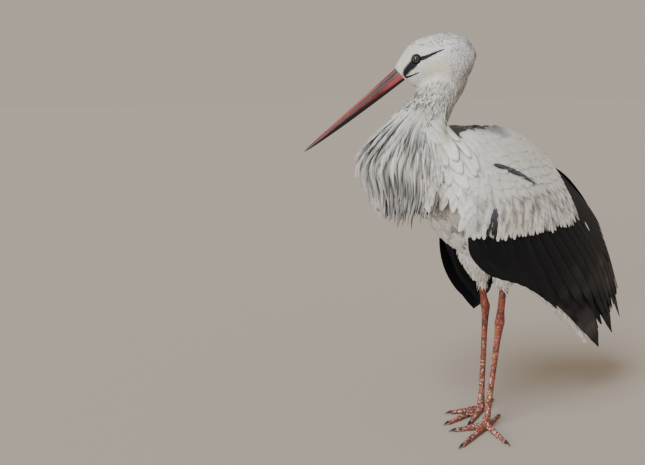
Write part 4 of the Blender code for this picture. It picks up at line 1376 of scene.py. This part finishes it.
def ruff_tiers(name, tiers, seed):
    """Tiers of plumes: where each starts and ends, how many, depth, width and stand."""
    rng = np.random.default_rng(seed)
    made = []
    share = np.linspace(0, 1, 9)[None]
    cream, slate, shade = RUFF_TINTS_AND_SHADE
    for start, end, count, depth, width, stand in tiers:
        turn = np.linspace(-1, 1, count) + rng.normal(0, 0.6 / count, count)
        first = start + rng.normal(0, 0.030, count)
        last = end + rng.normal(0, 0.050, count)
        along = first[:, None] + (last - first)[:, None] * share
        at = turn[:, None] + rng.normal(0, 0.040, count)[:, None] * share**1.5
        place, step = ruff_place(along, at), RUFF_STEP
        run = ruff_place(along + step, at) - ruff_place(along - step, at)
        across = ruff_place(along, at + step) - ruff_place(along, at - step)
        normal = unit(np.cross(across, run))
        normal *= np.sign((normal * (place - RUFF_CENTRE)).sum(-1))[..., None]
        widths = width * rng.uniform(0.72, 1.25, count)
        front = np.cos(1.7 * turn).clip(0, 1)
        lifts = stand * (0.25 + 0.75 * front) * rng.uniform(0.1, 1.5, count)
        colour = marks_and_painted_shade(place.reshape(-1, 3)).reshape(place.shape)
        warm = (rng.random(count) * (1.1 - start))[:, None] * np.ones_like(share)
        colour = mixed(colour, cream, warm * 0.65)
        cool = rng.random(count)[:, None] * soft_step(share, 0.20, 0.80)
        colour = mixed(colour, slate, cool * 0.90)
        # Painted shade: plumes that lie deeper are darkened along most of their length.
        under = np.full(place.shape[:2], float(soft_step(depth, 0.0018, 0.0045)))
        colour = mixed(colour, shade, under * soft_step(share, 0.1, 0.6) * 0.85)
        roots = np.full(count, -0.0100 if start < 0.05 else -0.0045)
        made.append((place - normal * depth, normal, widths, roots, lifts, colour))
    paths, normals, widths, roots, lifts, colours = (np.concatenate(column) for column in zip(*made))
    return vane_piece(
        name, 2, paths, normals, covert_plumage, seed + 1, width=widths, profile=PLUME_VANE,
        root_lift=roots, tip_lift=lifts, thickness=0.0006, camber=widths * 0.20, colours=colours,
        tone_spread=0.08, root_shade=0.22, edge_shade=0.22
    )


outer_ruff = ruff_tiers(
    "ruff_plumes",
    [
        (-0.030, 0.07, 104, 0.0032, 0.0040, 0.0004),
        (-0.01, 0.12, 92, 0.0028, 0.0048, 0.0008),
        (0.01, 0.20, 84, 0.0026, 0.0062, 0.0010),
        (0.04, 0.31, 74, 0.0014, 0.0072, 0.0025),
        (0.08, 0.42, 62, 0.0010, 0.0080, 0.0095),
        (0.16, 0.54, 56, 0.0010, 0.0086, 0.0150),
        (0.26, 0.66, 52, 0.0012, 0.0094, 0.0170),
        (0.36, 0.77, 50, 0.0012, 0.0100, 0.0140),
        (0.47, 0.87, 48, 0.0014, 0.0104, 0.0120),
        (0.57, 0.95, 46, 0.0016, 0.0106, 0.0080),
        (0.64, 1.02, 44, 0.0018, 0.0104, 0.0050),
        (0.36, 0.70, 24, 0.0002, 0.0150, 0.0080),
    ],
    500,
)
ruff_tiers(
    "under_ruff_plumes",
    [
        (0.05, 0.46, 70, 0.0036, 0.0100, 0.0010),
        (0.22, 0.68, 70, 0.0040, 0.0110, 0.0010),
        (0.40, 0.88, 70, 0.0042, 0.0110, 0.0010),
        (0.55, 0.98, 64, 0.0044, 0.0105, 0.0010),
        (0.52, 0.97, 60, 0.0090, 0.0105, 0.0010),
    ],
    520,
)
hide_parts("foreneck_plumes")

# Shoulder. Broad rounded feathers, each edged with a broken line of painted shade, lie from the sides
# of the neck and breast back over the bend of the wing, and close the gap between ruff and wing.

DRAPED = [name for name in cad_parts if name.startswith(("wing_", "foreneck", "trunk", "neck"))]
drape_tree = solids_tree(DRAPED)[0]
DRAPE_STEP = 0.004
DRAPE_Y = np.arange(-0.290, 0.010, DRAPE_STEP)
DRAPE_Z = np.arange(0.390, 0.680, DRAPE_STEP)


DRAPE_ROUNDS, LOOSE_ROUNDS = 26, 3  # of levelling; in the last few it also sinks in a little
FROM_OUTSIDE = 0.3


def body_reach(side, y, z):
    """How far out the body lies at a place of the side view, or None where there is none."""
    sign = SIGN[side]
    start = Vector((ORIGIN[0] + sign * FROM_OUTSIDE, ORIGIN[1] + y, z))
    hit = drape_tree.ray_cast(start, Vector((-sign, 0, 0)), FROM_OUTSIDE)[0]
    return None if hit is None else sign * (hit.x - ORIGIN[0])


def drape_of(side):
    """How far out the body lies over a grid of the side view, with its hollows bridged."""
    reach = np.full((len(DRAPE_Y), len(DRAPE_Z)), 0.03)
    for i, y in enumerate(DRAPE_Y):
        for j, z in enumerate(DRAPE_Z):
            out = body_reach(side, y, z)
            if out is not None:
                reach[i, j] = out
    solid = reach.copy()
    for number in range(DRAPE_ROUNDS):
        padded = np.pad(reach, 1, mode="edge")
        even = (padded[:-2, 1:-1] + padded[2:, 1:-1] + padded[1:-1, :-2] + padded[1:-1, 2:]) / 4
        reach = even if number >= DRAPE_ROUNDS - LOOSE_ROUNDS else np.maximum(solid, even)
    return reach


def over_body(side, y, z):
    """Whether the side of the body lies out here, not just its far edge or nothing."""
    out = body_reach(side, y, z)
    return out is not None and out > 0.045


def drape_place(side, reach, y, z):
    """Places on the drape, from side-view places."""
    i = np.clip((y - DRAPE_Y[0]) / DRAPE_STEP, 0, len(DRAPE_Y) - 1.001)
    j = np.clip((z - DRAPE_Z[0]) / DRAPE_STEP, 0, len(DRAPE_Z) - 1.001)
    a, b = i.astype(int), j.astype(int)
    u, v = i - a, j - b
    out = reach[a, b] * (1 - u) * (1 - v) + reach[a + 1, b] * u * (1 - v)
    out = out + reach[a, b + 1] * (1 - u) * v + reach[a + 1, b + 1] * u * v
    return np.stack((out * SIGN[side], y, z), -1) + ORIGIN


def shoulder_coat(name, side, feathers, finish, seed, **make):
    """Rounded feathers on the drape: root Y and Z, degrees below level, length and width."""
    reach = drape_of(side)
    y, z, dip, length, width = (np.array(column, float) for column in zip(*feathers))
    share = np.linspace(0, 1, 7)[None]
    angle = np.radians(dip)[:, None]
    y = y[:, None] + np.cos(angle) * length[:, None] * share
    z = z[:, None] - np.sin(angle) * length[:, None] * share
    place, step = drape_place(side, reach, y, z), 0.003
    along = drape_place(side, reach, y + step, z) - drape_place(side, reach, y - step, z)
    climb = drape_place(side, reach, y, z + step) - drape_place(side, reach, y, z - step)
    normals = unit(np.cross(along, climb)) * SIGN[side]
    return vane_piece(
        name, 6, place, normals, finish, seed + 1, width=width, profile=BLUNT_VANE, bow=0.9,
        thickness=0.0006, camber=width * 0.10, tone_spread=0.04, root_shade=0.25, edge_shade=0.10,
        **make
    )


SCAPULARS = (  # in order of overlap, the last lying over the others
    (-0.1840, 0.5560, 74, 0.0400, 0.0190),
    (-0.1700, 0.5500, 60, 0.0420, 0.0260),
    (-0.1480, 0.5720, 74, 0.0400, 0.0200),
    (-0.1420, 0.5860, 76, 0.0440, 0.0180),
    (-0.1720, 0.5720, 66, 0.0360, 0.0240),
    (-0.1840, 0.5800, 78, 0.0300, 0.0150),
    (-0.1500, 0.6020, 78, 0.0400, 0.0160),
    (-0.1740, 0.6040, 74, 0.0470, 0.0280),
    (-0.1580, 0.6160, 70, 0.0300, 0.0150),
)
for side, seed in zip(SIGN, (700, 740)):
    rng = np.random.default_rng(seed)
    flow = []
    for number, height in enumerate(np.arange(0.430, 0.634, 0.0125)):
        first = -0.214 + 0.30 * max(0.0, 0.50 - height)
        last = -0.138 + 0.5 * max(0.0, height - 0.60)
        for y in np.arange(first + 0.006 * (number % 2), last, 0.0120):
            if not over_body(side, y, height) or not over_body(side, y + 0.006, height - 0.030):
                continue
            dip = 80 - 26 * float(soft_step(height, 0.560, 0.625)) + rng.normal(0, 4)
            root = y + rng.normal(0, 0.0012), height + rng.normal(0, 0.0015)
            flow.append((*root, dip, 0.034, 0.0165))
    name, lifts = f"shoulder_{side}_feathers", {"root_lift": -0.0006, "tip_lift": 0.0022}
    shoulder_coat(name, side, flow, covert_plumage, seed, **lifts)
    name, tips = f"shoulder_{side}_scapulars", 0.0030 + 0.0004 * np.arange(len(SCAPULARS))
    lifts = {"root_lift": tips - 0.002, "tip_lift": tips}
    shoulder_coat(name, side, SCAPULARS, shade_rimmed_plumage, seed + 20, **lifts)

# Tail. Twelve short white quills make a blunt fan under the folded wings, with soft tufts
# along its edges that show as a ragged fringe below the near wing.

TAIL = (
    (0.095, 0.309, 0.036, 0.036),
    (0.150, 0.256, 0.040, 0.023),
    (0.205, 0.206, 0.042, 0.012),
    (0.272, 0.142, 0.044, 0.005),
)


def tail_place(along, across, depth):
    """Places in the tail: along it, across it from -1 to 1, and down through its thickness."""
    inside = np.clip(along, 0, 1)
    y, z, half_width, thick = np.moveaxis(smooth_rows(TAIL, inside), -1, 0)
    drop = depth * thick * (1 - 0.7 * across**2)
    back = -0.016 * across**2 * inside**2 + 0.075 * (along - inside)
    z = z + 0.010 * (1 - across**2) - 0.71 * back - 0.71 * drop
    return np.stack((half_width * across, y + 0.70 * back - 0.70 * drop, z), -1) + ORIGIN


TAIL_STEP = 0.01


def tail_vanes(name, first, last, across, depth, width, rows, seed, columns, hang=0.0, **make):
    """Feathers of the tail, in its middle (depth 0.5) or turned out on its two faces."""
    rng = np.random.default_rng(seed)
    count = len(across)
    share = np.linspace(0, 1, rows + 1)[None]
    start = (first + rng.normal(0, 0.02, count))[:, None]
    along = start + ((last - first) * rng.uniform(0.93, 1.05, count))[:, None] * share
    at = across[:, None] + rng.normal(0, 0.03, count)[:, None] * share
    deep = np.full_like(along, depth)
    place, step = tail_place(along, at, deep), TAIL_STEP
    place[..., 2] -= hang * rng.uniform(0.3, 1.0, count)[:, None] * share**2
    run = tail_place(along + step, at, deep) - tail_place(along - step, at, deep)
    side_step = tail_place(along, at + step, deep) - tail_place(along, at - step, deep)
    normals = unit(np.cross(side_step, run))
    normals *= np.sign(normals[..., 2:3]) * (-1 if depth > 0.5 else 1)
    colours = marks_and_painted_shade(place.reshape(-1, 3)).reshape(place.shape)
    return vane_piece(
        name, columns, place, normals, covert_plumage, seed + 1, width=width, root_lift=-0.0005,
        thickness=0.0006, colours=colours, **make
    )


fan = np.linspace(-0.84, 0.84, 12)
tail_fan = tail_vanes(
    "tail_quills", 0.02, 1.0, fan, 0.5, 0.017, 12, 600, 4,
    profile=QUILL_VANE, tip_lift=0.0004, camber=0.0004
)
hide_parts("tail")
tail_rng = np.random.default_rng(611)
for number, (depth, count) in enumerate(((0.05, 260), (0.95, 340))):
    limits = ((-0.05, 0.66), (0.34, 0.98), (-0.86, 0.86))
    first, last, across = (tail_rng.uniform(*ends, count) for ends in limits)
    tail_vanes(
        f"tail_tufts_{number}", first, last, across, depth, 0.0075, 4, 620 + number, 2,
        hang=0.001, profile=LANCE_VANE, tip_lift=0.0012, camber=0.0012
    )

# White down shows as a ragged fringe below the hem of the near wing
rng = np.random.default_rng(640)
count = 260
along = np.sort(rng.uniform(0.36, 0.97, count))
rise = np.full(count, -0.004) - 0.030 * soft_step(along, 0.60, 0.80)
lengths = (0.014 + 0.008 * soft_step(along, 0.5, 0.9)) * rng.uniform(0.7, 1.3, count)
paths, normals = wing_paths(
    "left", along, rise, lengths, 4, lambda bird: 58 + rng.normal(0, 11, len(bird))
)
paths = paths - normals * (0.0040 + 0.0035 * rng.random(count))[:, None, None]
vane_piece(
    "hem_fringe", 2, paths, normals, soft_plumage, 641, width=rng.uniform(0.0026, 0.0050, count),
    profile=LANCE_VANE, root_lift=0.0, tip_lift=0.0020, thickness=0.0005, camber=0.0006,
    tone_spread=0.08, root_shade=0.1
)

# Bill. Two long tapering shells of horn over bone: the upper with a nostril slit and a ridge,
# the lower with a keel, meeting in a fine dark slit. Red, black along the edges and the tip.

BILL_LENGTH = 0.225
BILL_AT = Vector((0, -0.0712, -0.0150))
BILL_TURN = Euler((math.radians(30), 0, 0)).to_matrix()
BILL_HALF_WIDTH, BILL_RISE = 0.0115, 0.0132  # of one mandible at its base
BILL_STATIONS = 64
BILL_RING, BILL_FLOOR = 28, 8  # corners round a mandible, and how many of them lie on its flat side
LIP_GAP = 0.00022


def bump_at(value, centre, width):
    return math.exp(-(((value - centre) / width) ** 2))


def bill_groove(upper, share, ridge):
    """How deep the horn is cut: nostril slit and crease above, one shallow crease below."""
    if not upper:
        return 0.0004 * bump_at(ridge, 0.30, 0.09) * float(1 - soft_step(share, 0.2, 0.6))
    slit = bump_at(ridge, 0.42, 0.055) * float(between(share, (0.035, 0.055), (0.115, 0.150)))
    crease = bump_at(ridge, 0.36, 0.075) * float(between(share, (0.0, 0.05), (0.30, 0.52)))
    return 0.0010 * slit + 0.0005 * crease


def bill_ring(upper, share):
    """Points round one mandible in the bill's frame, each with its share of the way to the ridge."""
    inside = max(share, 0.0)
    taper = max((1 - inside) ** 0.62, 0.03)
    half_width, height = BILL_HALF_WIDTH * taper, BILL_RISE * taper
    ring = []
    arc = BILL_RING - BILL_FLOOR
    for k in range(arc + 1):
        angle = math.pi * k / arc
        ridge = 1 - abs(2 * k / arc - 1)
        x, z = half_width * math.cos(angle), height * math.sin(angle) ** 1.25
        shrink = 1 - bill_groove(upper, share, ridge) / max(math.hypot(x, z), 0.002)
        ring.append((x * shrink, LIP_GAP + z * shrink, ridge))
    for k in range(1, BILL_FLOOR):
        x = half_width * (-1 + 2 * k / BILL_FLOOR)
        ring.append((x, LIP_GAP + 0.0006 * taper * (1 - (x / half_width) ** 2), 0.0))
    lift, way = 0.004 * inside**2, 1 if upper else -1
    return [(Vector((x, -BILL_LENGTH * share, lift + z * way)), ridge) for x, z, ridge in ring]


def bill_half(name, upper, finish):
    """One mandible, extruded station by station from a ring inside the feathered base."""
    bm = bmesh.new()
    bmesh.ops.create_circle(bm, cap_ends=True, segments=BILL_RING, radius=0.01)
    cap = bm.faces[:][0]
    station_of, ridge_of = {}, {}
    shares = [-0.02 + 1.02 * (k / (BILL_STATIONS - 1)) for k in range(BILL_STATIONS)]
    for number, share in enumerate(shares):
        if number:
            made = bmesh.ops.extrude_face_region(bm, geom=[cap])["geom"]
            cap = [item for item in made if isinstance(item, bmesh.types.BMFace)][0]
        for vert, (at, ridge) in zip(cap.verts, bill_ring(upper, share)):
            vert.co = at
            station_of[vert], ridge_of[vert] = share, ridge
    bmesh.ops.recalc_face_normals(bm, faces=bm.faces)
    stations = [station_of[vert] for vert in bm.verts]
    ridges = [ridge_of[vert] for vert in bm.verts]
    for vert in bm.verts:
        vert.co = HEAD_AT + HEAD_TURN @ (BILL_AT + BILL_TURN @ vert.co)
    mesh = mesh_of(bm, name)
    mesh.shade_smooth()
    mesh.set_sharp_from_angle(angle=math.radians(55))
    set_values(mesh, "station", stations)
    set_values(mesh, "ridge", ridges)
    obj = placed(name, mesh)
    mesh.materials.append(finish)
    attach(obj, "root")
    return obj


def bill_finish(name, upper):
    """Streaky horn: red, with a salmon painted highlight along the upper mandible, and black edges
    that widen to the tip.
    """
    material, tree, shader = plain_material(name, Roughness=0.46, Specular_IOR_Level=0.35)
    station, ridge = stored_value(tree, "station"), stored_value(tree, "ridge")
    stretched = tree.nodes.new("ShaderNodeCombineXYZ")
    link(tree, maths(tree, "MULTIPLY", station, 7.0), stretched.inputs["X"])
    link(tree, maths(tree, "MULTIPLY", ridge, 9.0), stretched.inputs["Y"])
    streak = texture(tree, "Noise", stretched.outputs[0], Scale=1.6, Detail=5.0, Roughness=0.6)
    streak = streak.outputs["Fac"]
    ragged = maths(tree, "MULTIPLY", maths(tree, "SUBTRACT", streak, 0.5), 0.22)
    height = maths(tree, "ADD", ridge, ragged)

    def band(heights, stations):
        """A band at some heights of the horn, as strong as it is at each station."""
        return maths(tree, "MULTIPLY", ramp(tree, height, *heights), ramp(tree, station, *stations))

    reds = ((0.30, (0.10, 0.014, 0.014)), (0.50, (0.235, 0.034, 0.027)), (0.70, (0.40, 0.095, 0.066)))
    red = ramp(tree, streak, *reds)
    if upper:
        # Painted highlight: a salmon band along the side of the upper mandible.
        salmon_highlight = ((0.42, 0.0), (0.58, 1.0), (0.88, 0.3))
        salmon_highlight = band(salmon_highlight, ((0.10, 0.2), (0.30, 0.75), (0.70, 0.6), (0.90, 0.1)))
        red = blended(tree, "MIX", salmon_highlight, red, (0.38, 0.105, 0.073, 1))
        edge = band(((0.15, 1.0), (0.30, 0.0)), ((0.02, 0.5), (0.12, 1.0), (0.70, 0.9), (0.90, 0.3)))
        groove = ((0.22, 0.0), (0.28, 1.0), (0.48, 1.0), (0.56, 0.0))
        groove = band(groove, ((0.0, 0.9), (0.06, 1.0), (0.34, 0.9), (0.62, 0.3)))
        top = band(((0.62, 0.0), (0.78, 1.0)), ((0.0, 1.0), (0.14, 0.95), (0.26, 0.0)))
        crest = maths(tree, "MULTIPLY", ramp(tree, ridge, (0.86, 0.0), (0.95, 1.0)), 0.6)
        black = maths(tree, "MAXIMUM", edge, groove)
        black = maths(tree, "MAXIMUM", black, maths(tree, "MAXIMUM", top, crest))
        cere = ramp(tree, station, (0.0, 0.8), (0.012, 0.6), (0.030, 0.0))
        red = blended(tree, "MIX", cere, red, (0.12, 0.11, 0.11, 1))
    else:
        gape = ramp(tree, station, (0.0, 1.0), (0.09, 0.9), (0.20, 0.0))
        red = blended(tree, "MIX", maths(tree, "MULTIPLY", gape, 0.8), red, (0.50, 0.090, 0.105, 1))
        line = ramp(tree, station, (0.0, 0.52), (0.15, 0.40), (0.35, 0.24), (0.55, 0.08), (0.70, 0.0))
        over = maths(tree, "SUBTRACT", height, line)
        black = ramp(tree, maths(tree, "ADD", over, 0.5), (0.44, 0.0), (0.56, 1.0))
    tip = maths(tree, "MULTIPLY", ramp(tree, station, (0.72, 0.0), (0.95, 1.0)), 0.85)
    black = maths(tree, "MINIMUM", maths(tree, "MAXIMUM", black, tip), 1.0)
    colour = blended(tree, "MIX", black, red, (0.022, 0.018, 0.020, 1))
    link(tree, colour, shader.inputs["Base Color"])
    bumped(tree, shader, streak, 0.35, 0.0004)
    return material


for half, upper in (("upper", True), ("lower", False)):
    horn = bill_half(f"bill_{half}_horn", upper, bill_finish(f"{half}_horn", upper))
    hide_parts(f"bill_{half}")

# Eyes. Each ball sits in its lids: a black pupil in a grey ring, dark beyond, under a clear
# wet cornea that bulges a little.

CORNEA_BULGE = 0.055  # of the ball's radius
eye_finish, tree, shader = plain_material(
    "eye_wet", Roughness=0.06, Coat_Weight=0.35, Coat_Roughness=0.03, Specular_IOR_Level=0.35
)
fibre = texture(tree, "Noise", surface_places(tree), Scale=1400.0, Detail=3.0)
wavy = maths(tree, "MULTIPLY", maths(tree, "SUBTRACT", fibre.outputs["Fac"], 0.5), 0.03)
rings = ramp(
    tree,
    maths(tree, "ADD", stored_value(tree, "off_axis"), wavy),
    (0.00, (0.002, 0.002, 0.002)),
    (0.275, (0.002, 0.002, 0.002)),
    (0.315, (0.050, 0.053, 0.048)),
    (0.40, (0.085, 0.089, 0.080)),
    (0.46, (0.045, 0.047, 0.043)),
    (0.50, (0.006, 0.006, 0.006)),
    (1.00, (0.006, 0.006, 0.006)),
)
link(tree, rings, shader.inputs["Base Color"])
for side, eye in EYES.items():
    ball = bmesh.new()
    turn = EYE_AXES[side].to_track_quat("Z", "Y").to_matrix().to_4x4()
    bmesh.ops.create_uvsphere(ball, u_segments=40, v_segments=28, radius=EYE_RADIUS - 0.0001)
    off_axis = []
    for vert in ball.verts:
        angle = vert.co.angle(Vector((0, 0, 1)))
        off_axis.append(angle / (math.pi / 2))
        vert.co *= 1 + CORNEA_BULGE * (1 - float(soft_step(angle, 0.35, 0.72)))
    bmesh.ops.transform(ball, matrix=Matrix.Translation(eye) @ turn, verts=ball.verts)
    ball_mesh = mesh_of(ball, f"eye_{side}_ball")
    ball_mesh.shade_smooth()
    set_values(ball_mesh, "off_axis", off_axis)
    ball_mesh.materials.append(eye_finish)
    eyeball = placed(f"eye_{side}_ball", ball_mesh)
    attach(eyeball, "root")
    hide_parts(f"eye_{side}")

# Claws. Short blunt nails of black horn, one on each toe, curved down, grained from black to dark
# brown.

CLAW_RADIUS, CLAW_SIDES, CLAW_STATIONS = 0.0030, 12, 9
CLAW_ROOT = 0.0012  # how far a claw starts inside its toe, and above its middle
claw_finish, tree, shader = plain_material("claw_horn", Roughness=0.42)
grain = texture(tree, "Noise", surface_places(tree), Scale=700.0, Detail=4.0).outputs["Fac"]
blacks = ((0.35, (0.012, 0.010, 0.010)), (0.62, (0.040, 0.032, 0.028)), (0.75, (0.11, 0.09, 0.08)))
link(tree, ramp(tree, grain, *blacks), shader.inputs["Base Color"])
bumped(tree, shader, grain, 0.4, 0.0002)


def claw(claws, name, ball_at):
    """Adds one claw, extruded station by station away from the ball of the foot."""
    low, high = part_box(name)
    heading = (low + high) / 2 - ball_at
    heading.z = 0
    heading.normalize()
    sideways = Vector((-heading.y, heading.x, 0))
    reaches = [(vertex.co - ball_at).dot(heading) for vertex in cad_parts[name].data.vertices]
    first, last = min(reaches) - CLAW_ROOT, max(reaches)
    start_z = (low.z + high.z) / 2 + CLAW_ROOT
    made = bmesh.ops.create_circle(claws, cap_ends=True, segments=CLAW_SIDES, radius=CLAW_RADIUS)
    cap = next(face for face in claws.faces if made["verts"][0] in face.verts)
    for number in range(CLAW_STATIONS):
        share = number / (CLAW_STATIONS - 1)
        if number:
            grown = bmesh.ops.extrude_face_region(claws, geom=[cap])["geom"]
            cap = [item for item in grown if isinstance(item, bmesh.types.BMFace)][0]
        size = CLAW_RADIUS * (1 - share**1.6 * 0.90)
        centre = ball_at + heading * (first + (last - first) * share)
        curved = start_z + 0.0006 * share - (start_z - 0.0012) * share**2
        centre.z = max(curved, size * 0.9 + 0.0003)
        for k, vert in enumerate(cap.verts):
            angle = 2 * math.pi * k / CLAW_SIDES
            vert.co = centre + sideways * size * 0.82 * math.cos(angle)
            vert.co.z += size * math.sin(angle) * (1.05 if math.sin(angle) > 0 else 0.75)


for side in SIGN:
    names = [f"claw_{toe}_{side}" for toe in ("middle", "outer", "inner", "hind")]
    ankle = [vertex.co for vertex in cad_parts[f"tarsus_{side}"].data.vertices]
    lowest = min(point.z for point in ankle)
    ball_points = [point for point in ankle if point.z < lowest + 0.001]
    ball_at = sum(ball_points, Vector()) / len(ball_points)
    claws = bmesh.new()
    for name in names:
        claw(claws, name, ball_at)
    bmesh.ops.recalc_face_normals(claws, faces=claws.faces)
    claws_mesh = mesh_of(claws, f"claws_{side}")
    claws_mesh.shade_smooth()
    claws_mesh.set_sharp_from_angle(angle=math.radians(60))
    claws_mesh.materials.append(claw_finish)
    claws_obj = placed(f"claws_{side}", claws_mesh)
    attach(claws_obj, "root")
    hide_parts(*names)
